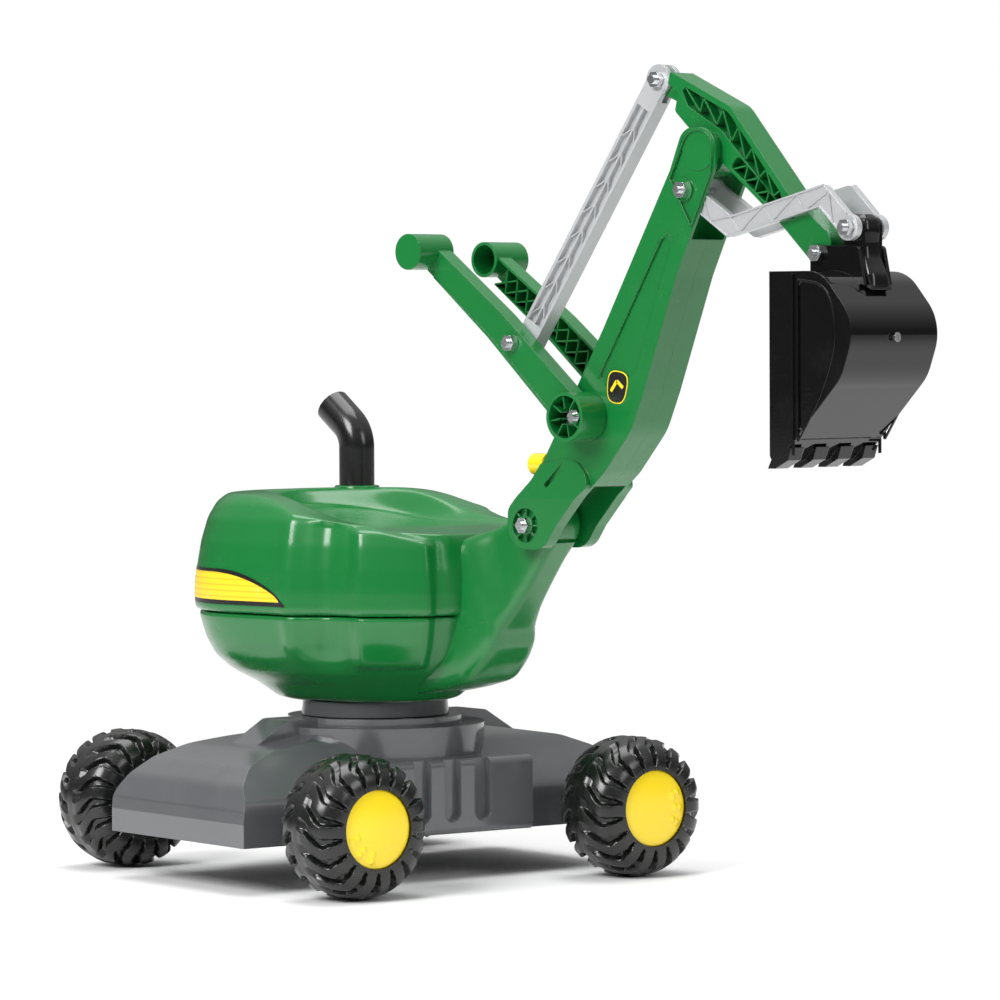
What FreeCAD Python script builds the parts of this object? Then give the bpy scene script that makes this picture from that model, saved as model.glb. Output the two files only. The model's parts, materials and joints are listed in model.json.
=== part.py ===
"""Ride-on digger: a wheeled chassis, a turning seat body and a lever-worked digging arm.

Frame: +Z up, +X along the digging arm, millimetres.  The origin is on the floor, under the
middle of the object's length and width.  The turning axis stands at X = slew_x.
"""
import FreeCAD, Part

import math
import os

from FreeCAD import Placement, Rotation, Vector

DOC = FreeCAD.newDocument("ride_on_digger")
SHEET = DOC.addObject("Spreadsheet::Sheet", "sizes")
NODES = []

# ---------------------------------------------------------------- driving dimensions, mm and degrees
SIZES = {
    # where the turning axis stands, and how the chassis is turned under the body
    "slew_x": -184.7,
    "chassis_turn": -9.27,
    # wheels
    "wheel_radius": 63.5,
    "wheel_width": 76.0,
    "tread_flat": 16.0,
    "hub_radius": 14.0,
    "hub_inner_reach": 28.0,
    "cap_radius": 35.6,
    "cap_dome": 3.0,
    "cap_wall": 2.5,
    "track_half": 182.0,
    "wheelbase_half": 152.5,
    "axle_radius": 5.0,
    "axle_end_inset": 12.0,
    "clip_radius": 9.0,
    "clip_thick": 3.0,
    "run_gap": 0.06,
    # chassis
    "chassis_length_half": 217.0,
    "chassis_half": 107.0,
    "chassis_bottom": 42.0,
    "chassis_wall": 4.0,
    "shoulder_z": 72.0,
    "crest_z": 133.0,
    "crest_half": 34.0,
    "crest_end_z": 110.0,
    "end_drop_z": 74.0,
    "panel_half": 120.0,
    "panel_length_half": 89.5,
    "panel_top": 109.0,
    "deck_radius": 100.0,
    "deck_top": 137.0,
    "ramp_half": 20.0,
    "ramp_run": 52.0,
    "ramp_low_z": 112.0,
    "plinth_radius": 80.0,
    "plinth_top": 144.0,
    "slot_width": 18.0,
    "slot_pitch": 33.0,
    "slot_depth": 7.0,
    "slot_bottom": 53.0,
    "slew_boss": 24.0,
    "slew_bolt_radius": 8.0,
    "slew_head_radius": 16.0,
    "slew_head_thick": 8.0,
    # turntable
    "neck_radius": 67.5,
    "neck_gap": 0.6,
    "neck_wall": 5.0,
    # body shells
    "body_rear": 166.0,
    "body_front": 150.0,
    "body_half": 136.0,
    "body_base_z": 158.0,
    "body_waist_z": 242.0,
    "body_top_z": 348.0,
    "body_wall": 4.0,
    "tongue_slot_gap": 0.3,
    "saddle_dip": 30.0,
    "nose_half": 46.0,
    "horn_half": 30.0,
    "horn_front": 166.0,
    # tongue that carries the boom
    "tongue_half": 16.5,
    "tongue_radius": 19.0,
    "tongue_boss": 11.0,
    "boom_pin_x": 222.0,
    "boom_pin_z": 322.0,
    # exhaust
    "exhaust_x": -100.0,
    "exhaust_y": 76.0,
    "exhaust_collar": 21.0,
    "exhaust_radius": 16.5,
    "exhaust_wall": 2.5,
    "exhaust_base_z": 349.0,
    "exhaust_rise": 35.0,
    "exhaust_bend": 30.0,
    "exhaust_tip": 26.0,
    "exhaust_lean": 52.0,
    # boom
    "boom_half": 23.5,
    "head_half": 25.0,
    "cheek_half": 33.0,
    "cheek_inner": 21.8,
    "boom_wall": 3.0,
    "cheek_gap": 0.8,
    "boom_lobe": 21.0,
    "stick_pin_x": 418.0,
    "stick_pin_z": 646.0,
    "boom_top_radius": 19.0,
    "link_pin_x": 402.0,
    "link_pin_z": 612.0,
    "front_open_z": 570.0,
    "rear_open_z": 590.0,
    "lock_z": 375.0,
    # levers
    "lever_pin_x": 290.5,
    "lever_pin_z": 418.0,
    "lever_inner": 33.0,
    "lever_thick": 16.0,
    "left_lever_turn": 2.0,
    "lever_hub": 21.5,
    "lever_hub_end": 55.0,
    "lever_wall": 3.0,
    "grip_x": 117.0,
    "grip_z": 563.0,
    "grip_radius": 15.9,
    "grip_bore": 13.2,
    "grip_inner": 30.0,
    "grip_outer": 71.5,
    "rod_pin_x": 221.0,
    "rod_pin_z": 482.0,
    # rod
    "rod_half": 7.5,
    "rod_foot_y": -24.8,
    "rod_width": 22.0,
    "rod_eye": 13.2,
    "rod_top_x": 358.0,
    "rod_top_z": 708.0,
    "rod_tab": 4.0,
    "rod_eye_gap": 1.5,
    # stick
    "stick_half": 13.5,
    "stick_web": 4.0,
    "stick_lobe": 23.0,
    "bucket_pin_x": 546.5,
    "bucket_pin_z": 556.0,
    "stick_end": 12.5,
    # links
    "link_gap": 0.7,
    "link_thick": 6.0,
    "link_width": 17.5,
    "link_eye": 11.0,
    "link_eye_gap": 3.4,
    "link_end_x": 581.0,
    "link_end_z": 577.0,
    # bucket
    "bucket_half": 56.0,
    "bucket_wall": 3.5,
    "bucket_front": 526.0,
    "bucket_back": 618.0,
    "bucket_top": 541.0,
    "bucket_low": 383.0,
    "bucket_seam": 554.0,
    "seam_gap": 0.4,
    "ear_gap": 0.6,
    "panel_depth": 1.8,
    "pocket_depth": 2.5,
    "ring_depth": 5.0,
    "ring_radius": 15.0,
    "ring_rib": 1.6,
    "washer_face": 8.6,
    "rim": 3.2,
    "ear_thick": 4.0,
    "ear_top": 562.0,
    "horn_radius": 9.5,
    "ear_horn_gap": 1.0,
    "tooth_width": 16.0,
    "tooth_long": 9.0,
    "tooth_count": 4,
    # fasteners
    "pin_radius": 4.0,
    "small_pin_radius": 3.0,
    "pin_fit": 0.05,
    "nut_across": 13.0,
    "nut_thick": 5.0,
    "thread_end": 3.5,
    "head_radius": 7.5,
    "head_thick": 4.0,
    "screw_radius": 2.0,
    "screw_length": 12.0,
    # lock knob
    "knob_radius": 9.5,
    "knob_length": 17.0,
    "knob_tip_x": 203.0,
    "stem_radius": 4.0,
}


def fill_sheet():
    """Write every driving dimension into the sheet, one alias to a row."""
    for row, (alias, value) in enumerate(SIZES.items(), start=1):
        SHEET.set(f"A{row}", alias)
        SHEET.set(f"B{row}", str(value))
        SHEET.setAlias(f"B{row}", alias)
    DOC.recompute()


class Sizes:
    """Reads a driving dimension from the sheet as a plain number."""

    def __getattr__(self, alias):
        return float(SHEET.get(alias))


S = Sizes()


# ---------------------------------------------------------------- outlines
def rounded(points):
    """Closed outline through (x, y, radius) corners: straight runs joined by tangent arcs."""
    count = len(points)
    starts, ends, arcs = [], [], []
    for i, (x, y, radius) in enumerate(points):
        here = Vector(x, y, 0)
        before = (Vector(*points[i - 1][:2], 0) - here).normalize()
        after = (Vector(*points[(i + 1) % count][:2], 0) - here).normalize()
        half = before.getAngle(after) / 2
        if radius <= 0 or abs(half - math.pi / 2) < 1e-4:
            starts.append(here)
            ends.append(here)
            arcs.append(None)
            continue
        run = radius / math.tan(half)
        centre = here + (before + after).normalize() * (radius / math.sin(half))
        first = here + before * run
        last = here + after * run
        middle = centre + (here - centre).normalize() * radius
        starts.append(first)
        ends.append(last)
        arcs.append((first, middle, last))
    edges = []
    for i in range(count):
        if arcs[i]:
            edges.append(Part.Arc(*arcs[i]))
        following = starts[(i + 1) % count]
        if (following - ends[i]).Length > 1e-6:
            edges.append(Part.LineSegment(ends[i], following))
    return edges


def circle(x, y, radius):
    """Full circle in a sketch plane."""
    return [Part.Circle(Vector(x, y, 0), Vector(0, 0, 1), radius)]


def box_outline(x0, y0, x1, y1, radius=0):
    """Rectangle between two corners, with rounded corners where a radius is given."""
    return rounded([(x0, y0, radius), (x1, y0, radius), (x1, y1, radius), (x0, y1, radius)])


def capsule(x0, y0, x1, y1, radius):
    """Slot-shaped outline of one radius round a straight centre line."""
    along = (Vector(x1, y1, 0) - Vector(x0, y0, 0)).normalize()
    side = Vector(-along.y, along.x, 0) * radius
    a, b = Vector(x0, y0, 0), Vector(x1, y1, 0)
    return [
        Part.LineSegment(a + side, b + side),
        Part.Arc(b + side, b + along * radius, b - side),
        Part.LineSegment(b - side, a - side),
        Part.Arc(a - side, a - along * radius, a + side),
    ]


# ---------------------------------------------------------------- solids
class Piece:
    """One PartDesign body: sketches on its own origin planes, pads, pockets and turned solids."""

    def __init__(self, label):
        self.body = DOC.addObject("PartDesign::Body", label)
        self.body.Label = label
        self.steps = 0
        NODES.append(self.body)

    def plane(self, role):
        """The body's own origin plane of this role."""
        features = self.body.Origin.OriginFeatures
        return next(f for f in features if f.Role == role)

    def sketch(self, role, offset, geometry):
        """A sketch on an origin plane of the body, moved along the plane's normal by offset."""
        self.steps += 1
        made = self.body.newObject("Sketcher::SketchObject", f"{self.body.Name}_sketch{self.steps}")
        made.AttachmentSupport = (self.plane(role), [""])
        made.MapMode = "FlatFace"
        made.AttachmentOffset = Placement(Vector(0, 0, offset), Rotation())
        made.addGeometry(geometry, False)
        return made

    def extrude(self, kind, role, offset, geometry, length):
        """Pad or Pocket of one sketch, and a check that it changed the volume."""
        before = self.volume()
        sketch = self.sketch(role, offset, geometry)
        feature = self.body.newObject(f"PartDesign::{kind}", f"{self.body.Name}_{kind}{self.steps}")
        feature.Profile = sketch
        feature.Length = length
        DOC.recompute()
        if abs(self.volume() - before) < 1e-3:
            raise RuntimeError(f"{self.body.Label}: {kind} {self.steps} changed nothing")
        return feature

    def volume(self):
        """The body's present volume, or nothing before its first feature."""
        return self.body.Shape.Volume if self.body.Tip else 0.0

    def pad_side(self, geometry, y_low, y_high):
        """Add an X-Z outline between two Y values."""
        return self.extrude("Pad", "XZ_Plane", -y_high, geometry, y_high - y_low)

    def cut_side(self, geometry, y_low, y_high):
        """Cut an X-Z outline between two Y values."""
        return self.extrude("Pocket", "XZ_Plane", -y_low, geometry, y_high - y_low)

    def pad_up(self, geometry, z_low, z_high):
        """Add an X-Y outline between two heights."""
        return self.extrude("Pad", "XY_Plane", z_low, geometry, z_high - z_low)

    def cut_up(self, geometry, z_low, z_high):
        """Cut an X-Y outline between two heights."""
        return self.extrude("Pocket", "XY_Plane", z_high, geometry, z_high - z_low)

    def pad_across(self, geometry, x_low, x_high):
        """Add a Y-Z outline between two X values."""
        return self.extrude("Pad", "YZ_Plane", x_low, geometry, x_high - x_low)

    def cut_across(self, geometry, x_low, x_high):
        """Cut a Y-Z outline between two X values."""
        return self.extrude("Pocket", "YZ_Plane", x_high, geometry, x_high - x_low)

    def turn_about_y(self, profile):
        """Turn a closed (radius, along) profile about the Y axis."""
        sketch = self.sketch("XY_Plane", 0, rounded(profile))
        feature = self.body.newObject("PartDesign::Revolution", f"{self.body.Name}_turn{self.steps}")
        feature.Profile = sketch
        feature.ReferenceAxis = (sketch, ["V_Axis"])
        feature.Angle = 360
        DOC.recompute()
        return feature

    def turn_about_z(self, profile):
        """Turn a closed (radius, height) profile about the Z axis."""
        sketch = self.sketch("XZ_Plane", 0, rounded(profile))
        feature = self.body.newObject("PartDesign::Revolution", f"{self.body.Name}_turn{self.steps}")
        feature.Profile = sketch
        feature.ReferenceAxis = (sketch, ["V_Axis"])
        feature.Angle = 360
        DOC.recompute()
        return feature

    def loft(self, kind, sections):
        """AdditiveLoft or SubtractiveLoft through (height, outline) sections."""
        sketches = [self.sketch("XY_Plane", z, geometry) for z, geometry in sections]
        feature = self.body.newObject(f"PartDesign::{kind}", f"{self.body.Name}_{kind}{self.steps}")
        feature.Profile = sketches[0]
        feature.Sections = sketches[1:]
        feature.Ruled = True
        DOC.recompute()
        return feature

    def place(self, x=0.0, y=0.0, z=0.0, rotation=None):
        """Put the body at a point of the upper frame, whose turning axis is at X = 0."""
        self.body.Placement = Placement(Vector(x, y, z), rotation or Rotation())
        self.body.setExpression(".Placement.Base.x", f"{SHEET.Name}.slew_x * 1 mm + {x!r} * 1 mm")
        return self.body


def chassis_place(piece, along=0.0, across=0.0, height=0.0, turn=0.0):
    """Put a body at a point of the chassis frame, which is turned under the upper frame."""
    spin = Rotation(Vector(0, 0, 1), S.chassis_turn)
    base = spin.multVec(Vector(along, across, height))
    return piece.place(base.x, base.y, base.z, Rotation(Vector(0, 0, 1), S.chassis_turn + turn))


def group(label, shapes):
    """Several identical fasteners as one node, in the upper frame."""
    node = DOC.addObject("Part::Feature", label)
    node.Label = label
    node.Shape = Part.makeCompound(shapes)
    node.Placement = Placement(Vector(S.slew_x, 0, 0), Rotation())
    NODES.append(node)
    return node


def hexagon(x, z, y_low, y_high, bore):
    """A hexagon nut standing along Y, with a clear bore."""
    radius = S.nut_across / math.sqrt(3)
    points = []
    for i in range(7):
        angle = math.radians(60 * i)
        points.append(Vector(x + radius * math.cos(angle), y_low, z + radius * math.sin(angle)))
    face = Part.Face(Part.makePolygon(points))
    nut = face.extrude(Vector(0, y_high - y_low, 0))
    hole = Part.makeCylinder(bore, y_high - y_low + 2, Vector(x, y_low - 1, z), Vector(0, 1, 0))
    return nut.cut(hole)


def bolt(label, x, z, radius, nut_face, head_face):
    """Round-headed bolt along Y: its head on head_face, its thread end out past nut_face."""
    head = S.head_radius
    end = nut_face - S.nut_thick - S.thread_end
    piece = Piece(label)
    piece.turn_about_y([
        (0, end, 0),
        (radius, end, 0),
        (radius, head_face, 0),
        (head, head_face, 0),
        (head * 0.6, head_face + S.head_thick, 0),
        (0, head_face + S.head_thick, 0),
    ])
    return piece.place(x, 0, z)


# ---------------------------------------------------------------- wheels and axles
def make_wheel(name, side_a, side_b):
    """One hollow wheel with its hub, and the cap pressed over its open side."""
    half = S.wheel_width / 2
    radius = S.wheel_radius
    rim = S.cap_radius
    bore = S.axle_radius + S.run_gap
    face = half - 4.0
    hub_out = half - S.axle_end_inset - S.clip_thick - 8.0
    profile = [
        (bore, -half - S.hub_inner_reach, 0),
        (S.hub_radius, -half - S.hub_inner_reach, 0),
        (S.hub_radius, -face, 0),
        (rim, -face, 0),
        (rim + 8, -half, 4),
        (radius - 9, -half + 8, 8),
        (radius, -S.tread_flat / 2, 0),
        (radius, S.tread_flat / 2, 0),
        (radius - 9, half - 8, 8),
        (rim + 8, half, 4),
        (rim, face, 0),
        (rim, -face + 8, 0),
        (S.hub_radius, -face + 8, 0),
        (S.hub_radius, hub_out, 0),
        (bore, hub_out, 0),
    ]
    turn = -90 * side_a
    tyre = Piece(f"wheel_{name}")
    tyre.turn_about_y(profile)
    place = dict(along=side_a * S.track_half, across=side_b * S.wheelbase_half, height=radius, turn=turn)
    chassis_place(tyre, **place)
    cap_in = face - 8
    skirt = S.cap_radius - S.cap_wall
    cap = Piece(f"hubcap_{name}")
    cap.turn_about_y([
        (0, half - S.cap_wall, 0),
        (skirt, face - 1.0, 0),
        (skirt, cap_in, 0),
        (S.cap_radius, cap_in, 0),
        (S.cap_radius, face + 1.5, 1.0),
        (S.cap_radius * 0.5, half - 1.0 + S.cap_dome * 0.2, 0),
        (0, half, 0),
    ])
    chassis_place(cap, **place)


def make_axles():
    """Two steel axles fixed across the chassis, and the push-on clips on their four ends."""
    reach = S.track_half + S.wheel_width / 2 - S.axle_end_inset
    spin = Rotation(Vector(0, 0, 1), S.chassis_turn)
    clips = []
    for name, side_b in (("front", 1), ("rear", -1)):
        axle = DOC.addObject("Part::Cylinder", f"axle_{name}")
        axle.Label = f"axle_{name}"
        axle.setExpression("Radius", f"{SHEET.Name}.axle_radius")
        axle.Height = 2 * reach
        base = spin.multVec(Vector(-reach, side_b * S.wheelbase_half, S.wheel_radius))
        lie = spin.multiply(Rotation(Vector(0, 1, 0), 90))
        axle.Placement = Placement(base + Vector(S.slew_x, 0, 0), lie)
        NODES.append(axle)
        for side_a in (-1, 1):
            along = side_a * (reach - 6 - S.clip_thick / 2)
            centre = Vector(along, side_b * S.wheelbase_half, S.wheel_radius)
            start = spin.multVec(centre - Vector(S.clip_thick / 2, 0, 0))
            along = spin.multVec(Vector(1, 0, 0))
            ring = Part.makeCylinder(S.clip_radius, S.clip_thick, start, along)
            clips.append(ring.cut(Part.makeCylinder(S.axle_radius, S.clip_thick, start, along)))
    group("axle_clips", clips)


# ---------------------------------------------------------------- chassis
def hood_outline(half, shoulder, crest, low):
    """Cross-section of the chassis: a rounded hood that is open below."""
    return rounded([
        (-half, low, 0),
        (-half, shoulder + 6, 22),
        (-S.crest_half - 30, crest - 8, 30),
        (-S.crest_half, crest, 40),
        (S.crest_half, crest, 40),
        (S.crest_half + 30, crest - 8, 30),
        (half, shoulder + 6, 22),
        (half, low, 0),
    ])


def make_chassis():
    """The moulded chassis shell: two falling hoods, slotted side panels, the deck and axle walls."""
    wall = S.chassis_wall
    long_half = S.chassis_length_half
    panel = S.panel_half
    low = S.chassis_bottom
    shell = Piece("chassis_shell")
    shell.pad_side(hood_outline(S.chassis_half, S.shoulder_z, S.crest_z, low), -long_half, long_half)
    for side in (-1, 1):
        shell.cut_across(rounded([
            (side * (long_half + 2), low - 2, 0),
            (side * (long_half - 1), S.end_drop_z, 10),
            (side * (long_half - 9), S.end_drop_z + 21, 16),
            (side * (long_half - 26), S.crest_end_z, 20),
            (side * (long_half - 57), S.crest_end_z + 11, 60),
            (side * S.plinth_radius, S.crest_z, 0),
            (side * S.plinth_radius, S.crest_z + 20, 0),
            (side * (long_half + 30), S.crest_z + 20, 0),
            (side * (long_half + 30), low - 2, 0),
        ]), -S.chassis_half - 1, S.chassis_half + 1)
    shell.pad_side(box_outline(-panel, low, panel, S.panel_top, 6),
                   -S.panel_length_half, S.panel_length_half)
    shell.pad_up(circle(0, 0, S.deck_radius), S.panel_top, S.deck_top)
    shell.pad_up(circle(0, 0, S.plinth_radius), S.deck_top, S.plinth_top)
    for side in (-1, 1):
        start, stop = S.plinth_radius, S.plinth_radius + 30 + S.ramp_run
        shell.pad_across(rounded([
            (side * (start - 8), S.panel_top - 10, 0),
            (side * (start - 8), S.plinth_top, 0),
            (side * (start + 30), S.plinth_top, 12),
            (side * stop, S.ramp_low_z, 6),
            (side * stop, S.panel_top - 10, 0),
        ]), -S.ramp_half, S.ramp_half)
    inside = S.chassis_half - wall
    shell.cut_side(hood_outline(inside, S.shoulder_z - wall, S.crest_end_z - wall, low - 1),
                   -long_half + wall + 22, long_half - wall - 22)
    shell.cut_side(hood_outline(inside, S.shoulder_z - wall, S.end_drop_z + 12, low - 1),
                   -long_half + wall + 4, long_half - wall - 4)
    shell.cut_side(hood_outline(inside, S.shoulder_z - wall, S.crest_z - 2 * wall, low - 1),
                   -S.deck_radius, S.deck_radius)
    shell.cut_side(box_outline(-panel + wall, low - 1, panel - wall, S.panel_top - wall),
                   -S.panel_length_half + wall, S.panel_length_half - wall)
    backing = box_outline(-S.slot_pitch * 1.5, S.slot_bottom - 5, S.slot_pitch * 1.5, S.panel_top - 3)
    shell.pad_across(backing, panel - wall - S.slot_depth, panel - wall)
    shell.pad_across(backing, -panel + wall, -panel + wall + S.slot_depth)
    slots = []
    for i in (-1, 0, 1):
        centre = i * S.slot_pitch
        slots += box_outline(centre - S.slot_width / 2, S.slot_bottom,
                             centre + S.slot_width / 2, S.panel_top + 5, S.slot_width / 2 - 0.5)
    shell.cut_across(slots, panel - S.slot_depth, panel + 1)
    shell.cut_across(slots, -panel - 1, -panel + S.slot_depth)
    shell.pad_up(circle(0, 0, S.slew_boss), S.shoulder_z, S.plinth_top)
    shell.cut_up(circle(0, 0, S.slew_bolt_radius + S.run_gap), S.shoulder_z - 1, S.plinth_top + 1)
    for rib in (-inside / 2, inside / 2):
        for side in (-1, 1):
            centre = side * S.wheelbase_half
            shell.pad_across(box_outline(centre - 14, low, centre + 14, S.crest_end_z - wall + 4),
                             rib - wall / 2, rib + wall / 2)
    axle_holes = circle(S.wheelbase_half, S.wheel_radius, S.axle_radius)
    axle_holes += circle(-S.wheelbase_half, S.wheel_radius, S.axle_radius)
    shell.cut_across(axle_holes, -S.chassis_half - 1, S.chassis_half + 1)
    chassis_place(shell)


def make_slewing():
    """Turntable ring under the body, and the bolt, washer and nut that it turns on."""
    base = S.plinth_top + S.neck_gap
    ring = Piece("turntable")
    inner = S.neck_radius - S.neck_wall
    ring.turn_about_z([
        (S.slew_bolt_radius, base, 0),
        (S.neck_radius, base, 0),
        (S.neck_radius - 1.5, S.body_base_z, 0),
        (inner, S.body_base_z, 0),
        (inner, base + S.neck_wall, 0),
        (S.slew_boss, base + S.neck_wall, 0),
        (S.slew_boss, S.body_base_z, 0),
        (S.slew_bolt_radius, S.body_base_z, 0),
    ])
    ring.place()
    floor = S.body_base_z + S.body_wall
    under = S.shoulder_z - S.neck_gap
    pin = Piece("slew_bolt")
    pin.turn_about_z([
        (0, under - 22, 0),
        (S.slew_bolt_radius, under - 22, 0),
        (S.slew_bolt_radius, floor, 0),
        (S.slew_head_radius, floor, 0),
        (S.slew_head_radius, floor + S.slew_head_thick, 2),
        (0, floor + S.slew_head_thick, 0),
    ])
    pin.place()
    washer = Piece("slew_washer")
    washer.turn_about_z([
        (S.slew_bolt_radius, under - 3, 0),
        (S.slew_boss, under - 3, 0),
        (S.slew_boss, under, 0),
        (S.slew_bolt_radius, under, 0),
    ])
    washer.place()
    nut = Piece("slew_nut")
    across = S.slew_bolt_radius * 1.75
    corners = [(across * math.cos(math.radians(60 * i)), across * math.sin(math.radians(60 * i)), 0)
               for i in range(6)]
    nut.pad_up(rounded(corners), under - 15, under - 3)
    nut.cut_up(circle(0, 0, S.slew_bolt_radius), under - 16, under - 2)
    nut.place()


# ---------------------------------------------------------------- seat body
def egg(scale, inset=0.0, trim=0.0):
    """Plan of the body at one height: round at the rear, drawn in towards the nose."""
    rear = S.body_rear * scale - inset
    front = S.body_front * (0.35 + 0.65 * scale) - inset - trim
    half = S.body_half * scale - inset
    nose = S.nose_half * scale - inset / 2
    return rounded([
        (-rear, -half * 0.52, half * 0.5),
        (-rear * 0.5, -half, half * 0.55),
        (front * 0.36, -half, half * 0.35),
        (front, -nose, nose * 0.5),
        (front, nose, nose * 0.5),
        (front * 0.36, half, half * 0.35),
        (-rear * 0.5, half, half * 0.55),
        (-rear, half * 0.52, half * 0.5),
    ])


LOWER_LEVELS = ((0.0, 0.50), (0.25, 0.65), (0.38, 0.83), (0.50, 0.88), (0.83, 0.957), (1.0, 1.0))
UPPER_LEVELS = ((0.0, 1.0), (0.32, 0.988), (0.62, 0.945), (0.87, 0.875), (1.0, 0.79))


def level_sections(levels, z_low, z_high, inset, trim=0.0):
    """Loft sections between two heights, from shares of the height and of the plan."""
    return [[z_low + (z_high - z_low) * share, egg(scale, inset, trim * share)]
            for share, scale in levels]


def horn_outline(slim):
    """Side outline of the horn that carries the boom: its slim tongue, or its broad root."""
    pin_x, pin_z = S.boom_pin_x, S.boom_pin_z
    front = S.horn_front
    root = [
        (S.body_front - 60, S.body_waist_z - 4, 0),
        (S.body_front - 20, pin_z - 9, 6),
    ]
    if not slim:
        return rounded(root + [
            (front, pin_z + 2, 8),
            (front + 2, pin_z - 96, 30),
            (front - 20, pin_z - 138, 12),
            (S.body_front - 50, S.body_base_z + 10, 0),
        ])
    return rounded(root + [
        (pin_x - 20, pin_z + 9, 10),
        (pin_x - 14, pin_z + S.tongue_radius - 1, 10),
        (pin_x + S.tongue_radius, pin_z + 10, 14),
        (pin_x + S.tongue_radius - 2, pin_z - 16, 10),
        (pin_x - 43, pin_z - 96, 8),
        (pin_x - 44, pin_z - 112, 10),
        (pin_x - 66, pin_z - 144, 14),
        (S.body_front - 40, pin_z - 150, 20),
        (S.body_front - 60, S.body_base_z + 6, 0),
    ])


def make_body():
    """Lower shell with the horn, and the seat shell over it."""
    wall = S.body_wall
    pin_x, pin_z = S.boom_pin_x, S.boom_pin_z
    base, waist, crown = S.body_base_z, S.body_waist_z, S.body_top_z
    lower = Piece("lower_shell")
    lower.loft("AdditiveLoft", level_sections(LOWER_LEVELS, base, waist, 0))
    hollow = level_sections(LOWER_LEVELS, base, waist, wall)
    hollow[0][0] += wall
    hollow[-1][0] += 1
    lower.loft("SubtractiveLoft", hollow)
    lower.pad_side(horn_outline(False), -S.horn_half, S.horn_half)
    lower.pad_side(horn_outline(True), -S.tongue_half, S.tongue_half)
    boss_half = S.cheek_inner - S.cheek_gap
    lower.pad_side(circle(pin_x, pin_z, S.tongue_boss), -boss_half, boss_half)
    lower.cut_side(circle(pin_x, pin_z, S.pin_radius + S.pin_fit), -boss_half - 1, boss_half + 1)
    lower.cut_up(circle(0, 0, S.slew_bolt_radius), base - 1, base + wall + 1)
    lower.place()

    seat = Piece("seat_shell")
    seat.loft("AdditiveLoft", level_sections(UPPER_LEVELS, waist, crown, 0))
    dip = crown - S.saddle_dip
    seat.cut_side(rounded([
        (-S.body_rear * 0.50, crown + 1, 0),
        (-S.body_rear * 0.40, crown - 14, 20),
        (-S.body_rear * 0.05, dip, 120),
        (S.body_front * 0.62, dip - 4, 40),
        (S.body_front + 1, dip - 32, 0),
        (S.body_front + 1, crown + 1, 0),
    ]), -S.body_half, S.body_half)
    hollow = level_sections(UPPER_LEVELS, waist, dip - 2 * wall, wall, S.body_front * 0.3)
    hollow[0][0] -= 1
    seat.loft("SubtractiveLoft", hollow)
    seat.pad_up(circle(S.exhaust_x, S.exhaust_y, S.exhaust_collar), dip - 10, S.exhaust_base_z)
    gap = S.tongue_slot_gap
    seat.cut_side(rounded([
        (S.body_front - 60 - gap, waist - 1, 0),
        (S.body_front - 60 - gap, waist + 1, 0),
        (S.body_front - 20 - gap, pin_z - 9 + gap, 0),
        (S.horn_front + 30, pin_z + 12, 0),
        (S.horn_front + 30, waist - 1, 0),
    ]), -S.horn_half - gap, S.horn_half + gap)
    seat.place()


def make_exhaust():
    """Bent hollow exhaust stub on the rear corner of the seat shell."""
    outer, bore = S.exhaust_radius, S.exhaust_radius - S.exhaust_wall
    base = Vector(S.exhaust_x, S.exhaust_y, S.exhaust_base_z)
    lean = math.radians(S.exhaust_lean)
    knee = base + Vector(0, 0, S.exhaust_rise)
    bend = S.exhaust_bend
    centre = knee - Vector(bend, 0, 0)
    middle = centre + Vector(bend * math.cos(lean / 2), 0, bend * math.sin(lean / 2))
    last = centre + Vector(bend * math.cos(lean), 0, bend * math.sin(lean))
    tip = last + Vector(-math.sin(lean), 0, math.cos(lean)) * S.exhaust_tip
    path = Part.Wire([
        Part.LineSegment(base, knee).toShape(),
        Part.Arc(knee, middle, last).toShape(),
        Part.LineSegment(last, tip).toShape(),
    ])

    def tube(radius):
        ring = Part.Wire(Part.makeCircle(radius, base, Vector(0, 0, 1)))
        return path.makePipeShell([ring], True, False)

    pipe = DOC.addObject("Part::Feature", "exhaust_pipe")
    pipe.Label = "exhaust_pipe"
    pipe.Shape = tube(outer).cut(tube(bore))
    pipe.Placement = Placement(Vector(S.slew_x, 0, 0), Rotation())
    NODES.append(pipe)


# ---------------------------------------------------------------- boom
def boom_outline(low=False):
    """Side outline of the boom, from the body's tongue to the stick pivot, or its foot alone."""
    px, pz = S.boom_pin_x, S.boom_pin_z
    ax, az = S.stick_pin_x, S.stick_pin_z
    lobe = S.boom_lobe
    top = S.boom_top_radius
    foot = [
        (px + 12, pz + 54, 0 if low else 120),
        (px + 4, pz + 40, 20),
        (px - lobe, pz + 14, 12),
        (px - lobe, pz - lobe, lobe - 1),
        (px + lobe + 1, pz - lobe, lobe - 1),
        (px + lobe + 15, pz - 1, 14),
        (px + 61, pz + 26, 30),
    ]
    if low:
        return rounded(foot + [(px + 72, pz + 35, 6), (px + 60, pz + 62, 30)])
    return rounded(foot + [
        (px + 86, pz + 47, 40),
        (px + 118, pz + 84, 50),
        (px + 133, pz + 118, 60),
        (px + 171, pz + 217, 60),
        (ax + top + 1, az - 14, 30),
        (ax + top + 1, az + top, top - 1),
        (ax - top + 2, az + top, top - 3),
        (ax - 32, az - 17, 6),
        (px + 85, pz + 171, 160),
    ])


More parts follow.
